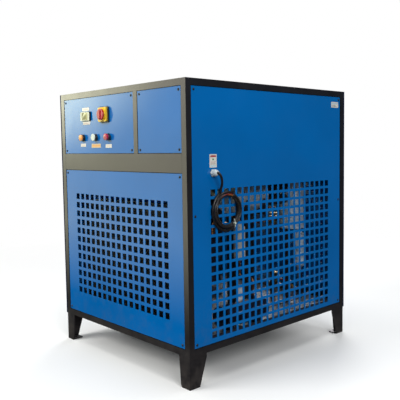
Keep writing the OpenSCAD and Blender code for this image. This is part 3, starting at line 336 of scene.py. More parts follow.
def fascia_with_shaded_sides(name, front, body, rough=0.3):
    """Moulded housing with a pale fascia film on the faces toward the front; every other face carries
    painted shade, a dark navy.
    """
    s = Shader(name)
    toward = s.ramp(s.facing("Y"), -0.75, -0.55, 1.0, 0.0)
    tone = s.ramp(s.noise(90, 4), 0.3, 0.7)
    pale = s.mix(tone, tuple(c * 0.9 for c in front), tuple(min(1, c * 1.08) for c in front))
    # Painted shade: the side faces take the dark navy colour as if they lay in shadow.
    dark = s.mix(tone, body, tuple(c * 1.5 + 0.004 for c in body))
    dirt = s.ramp(s.noise(160, 5, 0.7), 0.62, 0.8, 0.0, 0.3)
    base = s.mix(dirt, s.mix(toward, dark, pale), (0.10, 0.10, 0.08))
    roughness = s.ramp(s.noise(240, 4), 0.3, 0.75, rough - 0.06, rough + 0.12)
    s.set(Base_Color=base, Roughness=roughness, Normal=s.bump(s.noise(2600, 2), 0.00003), IOR=1.49)
    return s.material


def printed_film(name, base, rough, rows):
    """Plastic film with printed bars. A row: low corner, high corner, axis across, colour."""
    s = Shader(name)
    tone = s.ramp(s.noise(40, 4), 0.3, 0.7)
    colour = s.mix(tone, tuple(c * 0.92 for c in base), base)
    for low, high, across, ink in rows:
        u = s.band(s.axis(across), (low[0] + high[0]) / 2, (high[0] - low[0]) / 2)
        v = s.band(s.axis("Z"), (low[1] + high[1]) / 2, (high[1] - low[1]) / 2)
        mask = s.math("MULTIPLY", u, v)
        colour = s.mix(s.math("MULTIPLY", mask, 0.9), colour, ink)
    wear = s.ramp(s.noise(150, 5, 0.7), 0.62, 0.8, 0.0, 0.35)
    colour = s.mix(wear, colour, (0.33, 0.32, 0.29))
    roughness = s.ramp(s.noise(180, 4), 0.3, 0.75, rough - 0.08, rough + 0.12)
    s.set(Base_Color=colour, Roughness=roughness, Normal=s.bump(s.noise(60, 3), 0.00015))
    return s.material


def islands(node):
    """Boxes (low, high) of a CAD node's separate solids, in order of place."""
    mesh = bmesh.new()
    mesh.from_mesh(NODES[node].data)
    bmesh.ops.remove_doubles(mesh, verts=mesh.verts, dist=WELD_GAP)
    left = set(mesh.verts)
    boxes = []
    while left:
        stack = [left.pop()]
        group = []
        while stack:
            vertex = stack.pop()
            group.append(vertex.co.copy())
            for edge in vertex.link_edges:
                other = edge.other_vert(vertex)
                if other in left:
                    left.remove(other)
                    stack.append(other)
        low = Vector([min(point[i] for point in group) for i in range(3)])
        high = Vector([max(point[i] for point in group) for i in range(3)])
        boxes.append((low, high))
    mesh.free()
    return sorted(boxes, key=lambda box: tuple(round(c, 4) for c in box[0]))


def print_row(box, across, u, v, ink):
    """One printed bar inside a label's box; u and v are shares of its width and height."""
    low, high = box
    axis = "XYZ".index(across)
    wide, tall = high[axis] - low[axis], high.z - low.z
    return ((low[axis] + wide * u[0], low.z + tall * v[0]),
            (low[axis] + wide * u[1], low.z + tall * v[1]), across, ink)


RED_INK, GREEN_INK = (0.36, 0.010, 0.02), (0.05, 0.24, 0.10)
ROSE_INK, GREY_INK = (0.46, 0.33, 0.31), (0.20, 0.21, 0.22)
FILM = (0.70, 0.68, 0.62)


def reset_x():
    """Place of the reset button across the panel."""
    low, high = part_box("reset_button")
    return (low.x + high.x) / 2


def panel_label_film():
    """Film of the labels by the lamps and the display; the one under the reset button is beige."""
    boxes = islands("control_labels")
    reset = min(boxes, key=lambda box: abs(box[0].x + box[1].x - 2 * reset_x()) + box[0].z)
    rows = [print_row(reset, "X", (0.0, 1.0), (0.0, 1.0), (0.58, 0.42, 0.22)),
            print_row(reset, "X", (0.08, 0.92), (0.26, 0.74), (0.72, 0.31, 0.07))]
    for box in boxes:
        if box != reset:
            rows.append(print_row(box, "X", (0.18, 0.82), (0.40, 0.58), (0.62, 0.38, 0.30)))
    return printed_film("panel_label_film", FILM, 0.32, rows)


def sticker_film():
    """Film of the two stickers on the side panel: header bar, mark and rows."""
    stickers = islands("side_labels")
    tall, wide = sorted(stickers, key=lambda box: box[1].z - box[0].z, reverse=True)
    rows = [
        print_row(tall, "Y", (0.10, 0.90), (0.78, 0.92), RED_INK),
        print_row(tall, "Y", (0.38, 0.62), (0.55, 0.67), GREEN_INK),
        print_row(tall, "Y", (0.12, 0.88), (0.40, 0.44), ROSE_INK),
        print_row(tall, "Y", (0.12, 0.80), (0.32, 0.36), ROSE_INK),
        print_row(tall, "Y", (0.12, 0.86), (0.24, 0.28), GREY_INK),
        print_row(tall, "Y", (0.12, 0.88), (0.06, 0.16), (0.40, 0.58, 0.66)),
        print_row(wide, "Y", (0.06, 0.94), (0.62, 0.84), (0.42, 0.55, 0.66)),
        print_row(wide, "Y", (0.10, 0.60), (0.36, 0.46), GREY_INK),
        print_row(wide, "Y", (0.10, 0.85), (0.14, 0.22), GREY_INK),
    ]
    return printed_film("sticker_film", FILM, 0.3, rows)


def display_glass(box):
    """Olive liquid-crystal window with a darker band across it."""
    s = Shader("display_screen")
    low, high = box
    tone = s.noise(45, 3)
    base = s.mix(s.ramp(tone, 0.3, 0.7), (0.38, 0.36, 0.15), (0.44, 0.42, 0.19))
    across = s.ramp(s.axis("X"), low.x, high.x)
    pane = s.math("MULTIPLY", s.band(across, 0.40, 0.27), s.band(s.axis("Z"), (low.z + high.z) / 2, 0.010))
    base = s.mix(s.math("MULTIPLY", pane, 0.55), base, (0.10, 0.095, 0.03))
    s.set(Base_Color=base, Roughness=s.ramp(s.noise(80, 4), 0.3, 0.8, 0.06, 0.16))
    s.set(Normal=s.bump(s.noise(20, 2), 0.0001), Coat_Weight=0.3, Coat_Roughness=0.15)
    return s.material


MATERIALS = {
    "frame_paint": frame_paint("frame_paint", (0.0075, 0.0075, 0.0085), 0.4, 0.34, 0.9),
    "blue_paint": painted_sheet("blue_paint", (0.0, 0.130, 0.425), 0.07),
    "galvanised_sheet": galvanised("galvanised_sheet", (0.36, 0.39, 0.43)),
    "zinc_steel": plain_metal("zinc_steel", (0.62, 0.63, 0.65), 0.32),
    "pipe_steel": plain_metal("pipe_steel", (0.44, 0.44, 0.45), 0.42, (0.16, 0.12, 0.09), 0.5),
    "dark_screws": plain_metal("dark_screws", (0.012, 0.012, 0.013), 0.5, (0.03, 0.028, 0.025), 0.4, 0.0),
    "black_metal": frame_paint("black_metal", (0.006, 0.009, 0.022), 0.25),
    "white_metal": painted_sheet("white_metal", (0.62, 0.62, 0.60), 0.25, 0.0002),
    "black_plastic": plastic("black_plastic", (0.018, 0.018, 0.020), 0.38),
    "grey_plastic": fascia_with_shaded_sides("grey_plastic", (0.52, 0.53, 0.40), (0.016, 0.018, 0.035)),
    "display_screen": display_glass(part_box("display_window")),
    "yellow_plastic": plastic("yellow_plastic", (0.80, 0.50, 0.015), 0.22, 0.00002, 1.1),
    "red_plastic": plastic("red_plastic", (0.40, 0.006, 0.022), 0.2, 0.00002, 1.15),
    "white_plastic": plastic("white_plastic", (0.60, 0.66, 0.58), 0.28, 0.00002, 1.06),
    "gland_plastic": plastic("gland_plastic", (0.66, 0.72, 0.72), 0.36, 0.00003, 1.08),
    "device_plastic": plastic("device_plastic", (0.50, 0.51, 0.50), 0.42, 0.00004, 1.05),
    "amber_lens": lens_plastic("amber_lens", (0.72, 0.30, 0.07), 0.05),
    "red_lens": lens_plastic("red_lens", (0.40, 0.008, 0.05), 0.01),
    "cable_sheath": rubber("cable_sheath", (0.014, 0.012, 0.011), 0.34),
    "rubber_mount": rubber("rubber_mount", (0.012, 0.012, 0.012), 0.7),
    "foam_insulation": foam("foam_insulation"),
    "fin_aluminium": plain_metal("fin_aluminium", (0.20, 0.20, 0.21), 0.42, (0.05, 0.05, 0.05), 0.8),
    "foil_cladding": foil("foil_cladding"),
    "copper_tube": plain_metal("copper_tube", (0.60, 0.27, 0.14), 0.28, (0.16, 0.07, 0.04), 0.5),
    "valve_brass": plain_metal("valve_brass", (0.66, 0.46, 0.18), 0.28, (0.22, 0.15, 0.07), 0.4),
}

SLOT_OF = {row["node"]: row["material_slot"] for row in frame["record"]["subparts"]}


def dress(node, material):
    """Gives a CAD node's object one material."""
    data = NODES[node].data
    data.materials.clear()
    data.materials.append(material)


for name in NODES:
    if SLOT_OF[name] in MATERIALS:
        dress(name, MATERIALS[SLOT_OF[name]])


dress("control_labels", panel_label_film())
dress("side_labels", sticker_film())


# ------------------------------------------------------------------ mesh helpers

CABINET = "cabinet"


def piece(name, verts, faces, material, slot, smooth=True):
    """A new mesh that rides on the cabinet, with the given material."""
    mesh = bpy.data.meshes.new(name)
    mesh.from_pydata(verts, [], faces)
    mesh.polygons.foreach_set("use_smooth", [smooth] * len(faces))
    mesh.materials.append(material)
    item = bpy.data.objects.new(name, mesh)
    bpy.context.scene.collection.objects.link(item)
    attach(item, CABINET)
    return item


def merge(parts):
    """Joins (verts, faces) lists into one."""
    verts, faces = [], []
    for more_verts, more_faces in parts:
        start = len(verts)
        verts += more_verts
        faces += [tuple(i + start for i in face) for face in more_faces]
    return verts, faces


def tube(path, radius, sides=12):
    """Closed round tube along a path; radius is a number or a function of 0..1."""
    verts, faces = [], []
    last = len(path) - 1
    side = (path[1] - path[0]).orthogonal().normalized()
    for i, point in enumerate(path):
        step = (path[min(i + 1, last)] - path[max(i - 1, 0)]).normalized()
        side = (side - step * side.dot(step)).normalized()
        up = step.cross(side)
        size = radius(i / last) if callable(radius) else radius
        for k in range(sides):
            turn = 2 * math.pi * k / sides
            verts.append(point + (side * math.cos(turn) + up * math.sin(turn)) * size)
    for i in range(last):
        for k in range(sides):
            n = (k + 1) % sides
            a, b = i * sides, (i + 1) * sides
            faces.append((a + k, a + n, b + n, b + k))
    faces.append(tuple(reversed(range(sides))))
    faces.append(tuple(last * sides + k for k in range(sides)))
    return verts, faces


def spline(knots, per_span=6):
    """Smooth path through the knots."""
    ends = [knots[0]] + list(knots) + [knots[-1]]
    path = []
    for a, b, c, d in zip(ends, ends[1:], ends[2:], ends[3:]):
        for k in range(per_span):
            t = k / per_span
            path.append(0.5 * (2 * b + (c - a) * t + (2 * a - 5 * b + 4 * c - d) * t * t
                               + (3 * b - a - 3 * c + d) * t ** 3))
    path.append(knots[-1])
    return path


def block(centre, halves):
    """Closed box from its centre and three half sizes (x number, two vectors)."""
    deep, across, up = Vector((halves[0], 0, 0)), halves[1], halves[2]
    verts = [centre + deep * i + across * j + up * k for i in (-1, 1) for j in (-1, 1) for k in (-1, 1)]
    faces = [(0, 1, 3, 2), (4, 6, 7, 5), (0, 4, 5, 1), (2, 3, 7, 6), (0, 2, 6, 4), (1, 5, 7, 3)]
    return verts, faces


def strip(path, across, width, thick):
    """Closed flat strip along a path."""
    verts, faces = [], []
    last = len(path) - 1
    for i, point in enumerate(path):
        step = (path[min(i + 1, last)] - path[max(i - 1, 0)]).normalized()
        lift = step.cross(across).normalized() * thick / 2
        half = across.normalized() * width / 2
        verts += [point - half - lift, point + half - lift, point + half + lift, point - half + lift]
    for i in range(last):
        a, b = 4 * i, 4 * (i + 1)
        for k in range(4):
            n = (k + 1) % 4
            faces.append((a + k, a + n, b + n, b + k))
    faces += [(3, 2, 1, 0), tuple(4 * last + k for k in range(4))]
    return verts, faces


def middle(node):
    """Centre of a CAD node's box."""
    low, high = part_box(node)
    return (low + high) / 2


def smoothstep(t):
    """Eases 0..1 at both ends."""
    t = min(1.0, max(0.0, t))
    return t * t * (3 - 2 * t)


# ------------------------------------------------------------------ mains cable

CABLE_R, CORE_R = 4.75 * MM, 1.4 * MM
STRAND_LENGTH = 7 * MM      # bare strands past the end of a core
COIL_GAP = 1.9 * MM         # clear of the panel, room for the tie
COIL_SQUEEZE, COIL_HANG = 2.4 * MM, 2.6 * MM     # narrower and taller than a circle
COIL_START = 118            # degrees, measured from the rear of the cabinet toward the top
COIL_END = 1440 + 62        # four loops and the loose end
COIL_STEP = 6               # degrees between the points of the cable's path
# Each loop's shift inward and rise from the panel, at the coil's sides and at its ends, in mm
LANES = [((0.0, 0.0), (0.0, 0.0)), ((9.2, 0.0), (9.8, 0.2)),
         ((11.2, 9.4), (19.6, 0.0)), ((1.6, 9.4), (14.4, 8.6))]


class Coil:
    """Shape of the hanging coil, in the plane of the right panel."""

    def __init__(self):
        low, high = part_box("power_cable")
        self.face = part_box("right_panel")[1].x
        half = (high.y - low.y) / 2
        self.hub = Vector((0, low.y + half, low.z + half))
        self.wide = half - CABLE_R - COIL_SQUEEZE
        self.tall = half - CABLE_R + COIL_HANG
        chance = random.Random(SEED)
        self.sway = [[chance.uniform(0, 2 * math.pi) for _ in range(3)] for _ in LANES]
        self.drop = [chance.uniform(-1.4, 1.4) * MM for _ in LANES]

    def lane(self, index, turn):
        """Shift inward, rise from the panel and sag of one loop at an angle."""
        index = min(index, len(LANES) - 1)
        side, end = LANES[index]
        at_end = math.sin(turn) ** 2
        inward, rise = ((a + (b - a) * at_end) * MM for a, b in zip(side, end))
        a, b, c = self.sway[index]
        inward += at_end * (0.9 * MM * math.sin(2 * turn + a) + 0.7 * MM * math.sin(3 * turn + b))
        rise += 0.4 * MM * (1 + math.sin(2 * turn + c))
        return inward, rise, self.drop[index]

    def point(self, degrees):
        turn = math.radians(degrees)
        loop = (degrees - COIL_START) / 360
        index = int(loop)
        share = smoothstep((loop - index - 0.75) / 0.25)
        a, b = self.lane(index, turn), self.lane(index + 1, turn)
        inward, rise, drop = (x + (y - x) * share for x, y in zip(a, b))
        return Vector((self.face + COIL_GAP + CABLE_R + rise,
                       self.hub.y + (self.wide - inward) * math.cos(turn),
                       self.hub.z + (self.tall - inward) * math.sin(turn) + drop * abs(math.sin(turn))))


def mains_cable(coil):
    """Supply cable from inside the cabinet through the gland and round the coil."""
    low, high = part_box("power_cable")
    gland, nose = middle("cable_gland"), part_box("cable_gland")[1].x
    y, z, x = gland.y, gland.z, low.x + CABLE_R
    bend = 22 * MM
    path = spline([
        Vector((x, y, high.z)), Vector((x, y, z + 1.4 * bend)), Vector((x + 0.3 * bend, y, z + 0.35 * bend)),
        Vector((x + 1.3 * bend, y, z)), Vector((nose - 24 * MM, y, z)), Vector((nose, y, z)),
        Vector((nose + 6 * MM, y + 1 * MM, z - 2 * MM)), Vector((nose + 9 * MM, y + 7 * MM, z - 12 * MM)),
        Vector((nose + 6 * MM, y + 15 * MM, z - 28 * MM)), Vector((nose - 1 * MM, y + 21 * MM, z - 45 * MM)),
        Vector((nose - 11 * MM, y + 25 * MM, z - 60 * MM)), coil.point(COIL_START),
    ], 7)
    degrees = COIL_START
    while degrees < COIL_END:
        degrees += COIL_STEP
        path.append(coil.point(degrees))
    sheath = piece("mains_cable", *tube(path, CABLE_R, 14), MATERIALS["cable_sheath"], "cable_sheath")
    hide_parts("power_cable")
    bare_cores(coil, path, degrees)


def bare_cores(coil, path, degrees):
    """Two insulated cores that leave the sheath's end, each with its bare strands."""
    end = path[-1]
    ahead = (path[-1] - path[-2]).normalized()
    inks = (("core_red", (0.24, 0.02, 0.015), 1), ("core_orange", (0.55, 0.18, 0.03), -1))
    for name, ink, hand in inks:
        knots = [end - ahead * 4 * MM + Vector((0, 0, 1.5 * MM * hand))]
        for k in range(1, 8):
            arc = degrees + k * 9
            shift = Vector((2.2 * MM + 0.9 * MM * hand, 0, hand * 1.6 * MM))
            knots.append(coil.point(arc) + shift)
        piece(name, *tube(spline(knots, 4), CORE_R, 10), plastic(name, ink, 0.35), "cable_sheath")
        tip = knots[-1] + (knots[-1] - knots[-2]).normalized() * STRAND_LENGTH
        piece(name + "_strands", *tube([knots[-1], tip], lambda t: (1.0 - 0.2 * t) * MM, 8),
              MATERIALS["copper_tube"], "copper_tube")


def coil_tie(coil):
    """Thin strap round the bundle with its head and a short tail."""
    degrees = -58
    turn = math.radians(degrees)
    out = Vector((0, math.cos(turn), math.sin(turn)))
    along = Vector((0, -math.sin(turn), math.cos(turn)))
    reach = [coil.point(degrees + 360 * k) for k in range(1, 5)]
    hub = Vector((0, coil.hub.y, coil.hub.z))
    radii = [(point - hub).dot(out) for point in reach]
    inner, outer = min(radii) - CABLE_R - 0.6 * MM, max(radii) + CABLE_R + 0.6 * MM
    near, far = coil.face + 0.5 * MM, max(point.x for point in reach) + CABLE_R + 0.4 * MM
    corner = 5 * MM
    ring = []
    for cx, cr, start in ((far - corner, outer - corner, 0), (near + corner, outer - corner, 90),
                          (near + corner, inner + corner, 180), (far - corner, inner + corner, 270)):
        for k in range(7):
            a = math.radians(start + 15 * k)
            ring.append(((cx, cr), (math.cos(a), math.sin(a))))
    width, thick = 4.4 * MM, 1.1 * MM
    verts, faces = [], []
    for (x, r), (nx, nr) in ring:
        for side, lift in ((-1, 0), (1, 0), (1, 1), (-1, 1)):
            place = hub + Vector((x, 0, 0)) + out * r
            lifted = (Vector((nx, 0, 0)) + out * nr) * thick * lift
            verts.append(place + lifted + along * side * width / 2)
    count = len(ring)
    for i in range(count):
        a, b = 4 * i, 4 * ((i + 1) % count)
        for k in range(4):
            n = (k + 1) % 4
            faces.append((a + k, a + n, b + n, b + k))
    parts = [(verts, faces)]
    head = hub + Vector((far + 1.6 * MM, 0, 0)) + out * (inner + 6 * MM)
    parts.append(block(head, (3.6 * MM, along * 3.6 * MM, out * 3.2 * MM)))
    tail = [head]
    for rise, fall in ((4, 10), (7, 22)):
        tail.append(head + Vector((rise, 0, 0)) * MM - out * fall * MM)
    parts.append(strip(spline(tail, 5), along, 3.6 * MM, 1.1 * MM))
    strap = piece("coil_tie", *merge(parts), MATERIALS["white_plastic"], "white_plastic", smooth=False)
    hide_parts("cable_tie")


coil = Coil()
mains_cable(coil)
coil_tie(coil)


# ------------------------------------------------------------------ condenser

FIN_PITCH, FIN_T = 2.9 * MM, 0.22 * MM


def fine_fins():
    """Close-set thin fins with a slight wave."""
    low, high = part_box("condenser_fins")
    chance = random.Random(SEED + 1)
    count = int((high.x - low.x) / FIN_PITCH)
    levels = 9
    parts = []
    for i in range(count + 1):
        x = low.x + FIN_T + i * (high.x - low.x - 2 * FIN_T) / count
        lean, phase = chance.uniform(-0.35, 0.35) * MM, chance.uniform(0, 6)
        verts, faces = [], []
        for k in range(levels):
            share = k / (levels - 1)
            z = low.z + (high.z - low.z) * share
            shift = lean * math.sin(share * math.pi) + 0.15 * MM * math.sin(share * 9 + phase)
            shift *= math.sin(share * math.pi)
            for y in (low.y, high.y):
                verts += [Vector((x + shift - FIN_T / 2, y, z)), Vector((x + shift + FIN_T / 2, y, z))]
        for k in range(levels - 1):
            a, b = 4 * k, 4 * (k + 1)
            faces += [(a, b, b + 2, a + 2), (a + 1, a + 3, b + 3, b + 1),
                      (a, a + 1, b + 1, b), (a + 2, b + 2, b + 3, a + 3)]
        top = 4 * (levels - 1)
        faces += [(0, 2, 3, 1), (top, top + 1, top + 3, top + 2)]
        parts.append((verts, faces))
    fins = piece("condenser_fine_fins", *merge(parts), MATERIALS["fin_aluminium"], "fin_aluminium",
                 smooth=False)
    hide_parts("condenser_fins")


def condenser_tubes():
    """Straight tubes through the fins, in line with the return bends."""
    rows = set()
    for near, far in islands("condenser_bends"):
        radius = (far.y - near.y) / 2
        y = (near.y + far.y) / 2
        rows.add((round(y, 5), round(near.z + radius, 5), round(radius, 5)))
        rows.add((round(y, 5), round(far.z - radius, 5), round(radius, 5)))
    half = max(box[0].x for box in islands("condenser_bends"))
    tubes = []
    for y, z, radius in sorted(rows):
        tubes.append(tube([Vector((-half, y, z)), Vector((half, y, z))], radius, 14))
    piece("condenser_tubes", *merge(tubes), MATERIALS["copper_tube"], "copper_tube")


fine_fins()
condenser_tubes()


# ------------------------------------------------------------------ foil wrapping


FOIL_GRAIN, FOIL_DEPTH = 4.0 * MM, 4.5 * MM       # size of its mesh, and how deep it is pressed in


def wrap(node):
    """Replaces a vessel by its shape under crumpled foil, pressed inward only."""
    source = NODES[node]
    name = node + "_wrap"
    item = bpy.data.objects.new(name, source.data.copy())
    bpy.context.scene.collection.objects.link(item)
    weld = item.modifiers.new("weld", "WELD")
    weld.merge_threshold = WELD_GAP
    remesh = item.modifiers.new("remesh", "REMESH")
    remesh.mode = "VOXEL"
    remesh.voxel_size = FOIL_GRAIN
    bpy.context.view_layer.update()
    ready = item.evaluated_get(bpy.context.evaluated_depsgraph_get())
    mesh = bpy.data.meshes.new_from_object(ready)
    item.modifiers.clear()
    item.data = mesh
    normals = [vertex.normal.copy() for vertex in mesh.vertices]
    for vertex, normal in zip(mesh.vertices, normals):
        near, _ = noise.voronoi(vertex.co * 30)
        ridge = min(1.0, (near[1] - near[0]) * 2.2)
        swell = noise.noise(vertex.co * 14) * 0.5 + 0.5
        crinkle = noise.noise(vertex.co * 90) * 0.5 + 0.5
        vertex.co -= normal * FOIL_DEPTH * (0.45 * ridge + 0.3 * swell + 0.25 * crinkle)
    mesh.polygons.foreach_set("use_smooth", [True] * len(mesh.polygons))
    mesh.materials.clear()
    mesh.materials.append(MATERIALS[SLOT_OF[node]])
    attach(item, CABINET)
    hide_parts(node)


for vessel in ("air_exchanger", "evaporator", "moisture_separator"):
    wrap(vessel)


# ------------------------------------------------------------------ edge rounding


SHARP_ANGLE, FLAT_ANGLE = 35, 0.5       # degrees: edges that are rounded, and faces that count as one


def round_edges(node, width_mm, segments):
    """Rounds a CAD node's sharp edges with modifiers, leaving its mesh alone."""
    item = NODES[node]
    weld = item.modifiers.new("weld", "WELD")
    weld.merge_threshold = WELD_GAP
    flat = item.modifiers.new("flat", "DECIMATE")
    flat.decimate_type = "DISSOLVE"
    flat.angle_limit = math.radians(FLAT_ANGLE)
    bevel = item.modifiers.new("bevel", "BEVEL")
    bevel.width = width_mm * MM
    bevel.segments = segments
    bevel.limit_method = "ANGLE"
    bevel.angle_limit = math.radians(SHARP_ANGLE)
    bevel.harden_normals = True
    bevel.use_clamp_overlap = True


# Rounding width in mm and its segments, by CAD node
EDGES = {
    "frame": (2.2, 3), "front_crossbar": (1.6, 2), "legs": (1.2, 2),
    "control_panel": (0.7, 2), "blank_panel": (0.7, 2), "front_grille": (0.6, 2),
    "right_panel": (0.6, 2), "left_panel": (0.6, 2), "rear_upper_panel": (0.6, 2),
    "rear_grille": (0.6, 2), "top_panel": (0.7, 2), "main_switch_base": (0.8, 2),
    "main_switch_plate": (1.6, 3), "main_switch_knob": (1.4, 3), "display_bezel": (1.0, 2),
    "pilot_bodies": (0.6, 2), "reset_button": (0.35, 2), "cable_gland": (0.7, 2),
    "control_labels": (0.25, 1), "display_window": (0.3, 1), "air_pipes": (1.0, 2), "drain_lever": (0.6, 2),
}
for name, (width, segments) in EDGES.items():
    round_edges(name, width, segments)


# ------------------------------------------------------------------ stage

FLOOR_FADE = (0.9, 3.2)     # distance from the object over which the floor turns into plain white
FLOOR_BOUNCE, FLOOR_GLEAM = 0.17, 0.045     # the floor as matt and as glossy surfaces see it
HOLLOW_SHADE = (0.0015, 0.005, 0.028)     # painted shade: the dark navy seen through the cabinet from one side to the other
CAMERA_PLACE = Vector((1.971, -1.849, 0.8755))
CAMERA_TURN, CAMERA_TILT, CAMERA_ROLL = 47.21, 4.28, -0.84      # degrees
CAMERA_LENS, CAMERA_SENSOR = 52.95, 36      # millimetres
CAMERA_SHIFT = (-0.0012, -0.0213)
CARD_Y = -0.90              # plain soft card before the front, parallel to it
CARD_SPAN = (-1.30, 0.60, 1.30)     # left, right and top of what it mirrors in, as places on the front
CARD_TINT = (1.02, 1.08, 0.74)      # warm white
CARD_LOW_FADE = (0.235, 0.55)       # heights between which its lower end fades in
CARD_TOP_FADE = 0.13        # depth of its soft upper end
CARD_LEVEL = 1.6            # radiance of the card itself
LAMP_PLACE = (-0.58, 1.24)  # where the one soft lamp behind the card mirrors, as a place on the front
LAMP_HALF = (1.05, 0.46)    # its half width and half height
LAMP_CORE = 0.15            # share of its size that is fully lit
LAMP_LEVEL = 6.0            # its radiance


def stage_mesh(name, verts, faces, material, hidden_from):
    """Flat faces that belong to the stage, hidden from the named kinds of ray."""
    mesh = bpy.data.meshes.new(name)
    mesh.from_pydata(verts, [], faces)
    mesh.materials.append(material)
    item = bpy.data.objects.new(name, mesh)
    bpy.context.scene.collection.objects.link(item)
    for ray in hidden_from:
        setattr(item, "visible_" + ray, False)


def stage_floor():
    """Pale floor that fades to plain white, and reads darker in reflections."""
    bpy.ops.mesh.primitive_plane_add(size=60, location=(0, 0, 0))
    floor = bpy.context.object
    floor.name = "stage_floor"
    s = Shader("stage_floor")
    s.set(Base_Color=s.mix(s.ramp(s.noise(0.8, 2), 0.3, 0.7), (0.78, 0.78, 0.77), (0.81, 0.81, 0.80)),
          Roughness=0.6, Specular_IOR_Level=0.2)
    white = s.emission((1, 1, 1))
    bounced = s.emission((1.0, 1.0, 0.97))
    path = s.add("ShaderNodeLightPath")
    glossy = path.outputs["Is Glossy Ray"]
    s.feed(bounced.inputs["Strength"], s.ramp(glossy, 0.0, 1.0, FLOOR_BOUNCE, FLOOR_GLEAM))
    reach = s.add("ShaderNodeVectorMath", operation="LENGTH")
    s.link(s.place, reach.inputs[0])
    far = s.ramp(reach.outputs["Value"], *FLOOR_FADE)
    faded = s.math("MULTIPLY", far, path.outputs["Is Camera Ray"])
    seen = s.blend(faded, s.bsdf.outputs[0], white.outputs[0])
    bounce = s.math("MAXIMUM", glossy, path.outputs["Is Diffuse Ray"])
    s.surface(s.blend(bounce, seen, bounced.outputs[0]))
    floor.data.materials.append(s.material)


def lamp_pool(s, place):
    """Soft round pool of the one lamp behind the card: 1 in the middle, 0 at the rim."""
    (x, z), (wide, tall) = LAMP_PLACE, LAMP_HALF
    node = s.add("ShaderNodeVectorMath", operation="MULTIPLY_ADD")
    s.link(place, node.inputs[0])
    node.inputs[1].default_value = (1 / wide, 0, 1 / tall)
    node.inputs[2].default_value = (-x / wide, 0, -z / tall)
    away = s.add("ShaderNodeVectorMath", operation="LENGTH")
    s.link(node.outputs["Vector"], away.inputs[0])
    fall = s.add("ShaderNodeMapRange", clamp=True, interpolation_type="SMOOTHSTEP")
    s.link(away.outputs["Value"], fall.inputs["Value"])
    fall.inputs["From Min"].default_value = 1.0
    fall.inputs["From Max"].default_value = LAMP_CORE
    return fall.outputs["Result"]


def reflection_card():
    """Plain soft card before the front, seen only in glossy paint; it fades out at its top and bottom."""
    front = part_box("control_panel")[0].y
    reach = (front - CARD_Y) / (front - CAMERA_PLACE.y)

    def on_card(x, z):
        return (x * (1 + reach) - reach * CAMERA_PLACE.x, CARD_Y, z * (1 + reach) - reach * CAMERA_PLACE.z)

    left, right, top = CARD_SPAN
    top_left, top_right = on_card(left, top), on_card(right, top)
    verts = [(x, CARD_Y, z) for z in (0, top_left[2]) for x in (top_left[0], top_right[0])]
    s = Shader("stage_card")
    node = s.add("ShaderNodeVectorMath", operation="MULTIPLY_ADD")
    s.link(s.place, node.inputs[0])
    node.inputs[1].default_value = [1 / (1 + reach)] * 3
    node.inputs[2].default_value = CAMERA_PLACE * reach / (1 + reach)
    place = node.outputs["Vector"]
    z = s.axis("Z", place)
    lamp = s.math("MULTIPLY", lamp_pool(s, place), LAMP_LEVEL)
    level = s.math("ADD", s.math("MULTIPLY", s.ramp(z, *CARD_LOW_FADE), CARD_LEVEL), lamp)
    glow = s.emission(CARD_TINT)
    s.feed(glow.inputs["Strength"], s.math("MULTIPLY", level, s.ramp(z, top, top - CARD_TOP_FADE)))
    s.surface(glow.outputs[0])
    stage_mesh("stage_card", verts, [(0, 1, 3, 2)], s.material, ("camera", "diffuse", "shadow"))


def hollow_shade_shell():
    """Painted shade: dark navy sheets just outside the panels, seen only from inside the cabinet through its
    holes.
    """
    low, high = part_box("frame")
    gap = 3 * MM
    x0, x1, y0, y1 = low.x - gap, high.x + gap, low.y - gap, high.y + gap
    z0, z1 = LEG_TOP, high.z
    verts = [(x, y, z) for z in (z0, z1) for x, y in ((x0, y0), (x1, y0), (x1, y1), (x0, y1))]
    faces = [(0, 4, 5, 1), (1, 5, 6, 2), (2, 6, 7, 3), (3, 7, 4, 0)]
    s = Shader("stage_hollow_shade")
    dark = s.emission(HOLLOW_SHADE)
    clear = s.add("ShaderNodeBsdfTransparent")
    side = s.add("ShaderNodeNewGeometry")
    s.surface(s.blend(side.outputs["Backfacing"], dark.outputs[0], clear.outputs[0]))
    stage_mesh("stage_hollow_shade", verts, faces, s.material, ("diffuse", "glossy", "shadow"))


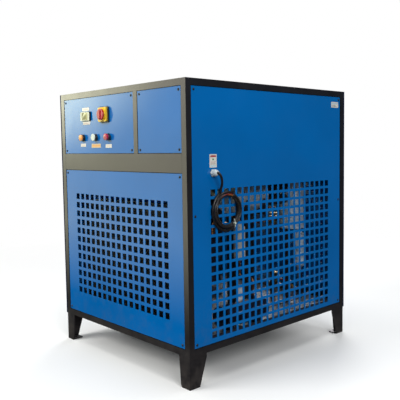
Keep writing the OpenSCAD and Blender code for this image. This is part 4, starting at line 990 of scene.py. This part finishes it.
def world_light():
    """White to the camera, soft and cool to the object, and dim in reflections."""
    world = bpy.data.worlds.new("studio")
    bpy.context.scene.world = world
    world.use_nodes = True
    tree = world.node_tree
    tree.nodes.clear()

    def glow(colour, strength):
        node = tree.nodes.new("ShaderNodeBackground")
        node.inputs["Color"].default_value = (*colour, 1)
        node.inputs["Strength"].default_value = strength
        return node.outputs[0]

    def choose(share, a, b):
        node = tree.nodes.new("ShaderNodeMixShader")
        tree.links.new(share, node.inputs["Fac"])
        tree.links.new(a, node.inputs[1])
        tree.links.new(b, node.inputs[2])
        return node.outputs[0]

    path = tree.nodes.new("ShaderNodeLightPath")
    lit = choose(path.outputs["Is Glossy Ray"], glow((0.90, 0.95, 1.0), 0.42), glow((0.4, 0.7, 1.0), 0.07))
    out = tree.nodes.new("ShaderNodeOutputWorld")
    tree.links.new(choose(path.outputs["Is Camera Ray"], lit, glow((1, 1, 1), 1.0)), out.inputs["Surface"])


def softbox(name, place, aim, size, watts, colour=(1, 1, 1)):
    """Soft rectangular lamp at a place, turned toward a point."""
    data = bpy.data.lights.new(name, "AREA")
    data.shape = "RECTANGLE"
    data.size, data.size_y = size
    data.energy = watts
    data.color = colour
    lamp = bpy.data.objects.new(name, data)
    lamp.location = place
    lamp.rotation_euler = (Vector(aim) - Vector(place)).to_track_quat("-Z", "Y").to_euler()
    bpy.context.scene.collection.objects.link(lamp)


def set_camera():
    """Camera at the photo's angle, with plain colour handling."""
    scene = bpy.context.scene
    data = bpy.data.cameras.new("camera")
    data.lens = CAMERA_LENS
    data.sensor_width = CAMERA_SENSOR
    data.shift_x, data.shift_y = CAMERA_SHIFT
    camera = bpy.data.objects.new("camera", data)
    azimuth, tilt, roll = (math.radians(a) for a in (CAMERA_TURN, CAMERA_TILT, CAMERA_ROLL))
    turn = Matrix.Rotation(azimuth, 3, "Z") @ Matrix.Rotation(math.pi / 2 - tilt, 3, "X")
    turn = turn @ Matrix.Rotation(roll, 3, "Z")
    camera.matrix_world = Matrix.Translation(CAMERA_PLACE) @ turn.to_4x4()
    scene.collection.objects.link(camera)
    scene.camera = camera
    scene.view_settings.view_transform = "Standard"


def set_stage():
    """Floor, card, painted-shade sheets behind the holes, and four soft lamps."""
    stage_floor()
    reflection_card()
    hollow_shade_shell()
    world_light()
    softbox("key", (-1.6, -4.4, 3.2), (0, 0, 0.7), (3.0, 2.2), 210, (1.0, 0.99, 0.96))
    softbox("side", (4.3, -1.6, 2.8), (0.4, 0, 0.6), (2.4, 2.4), 130)
    softbox("top", (0, 0.3, 4.4), (0, 0, 0), (3.6, 3.6), 110)
    softbox("rear", (-2.8, 4.0, 2.6), (0, 0, 0.6), (2.6, 2.2), 110)


set_stage()
set_camera()
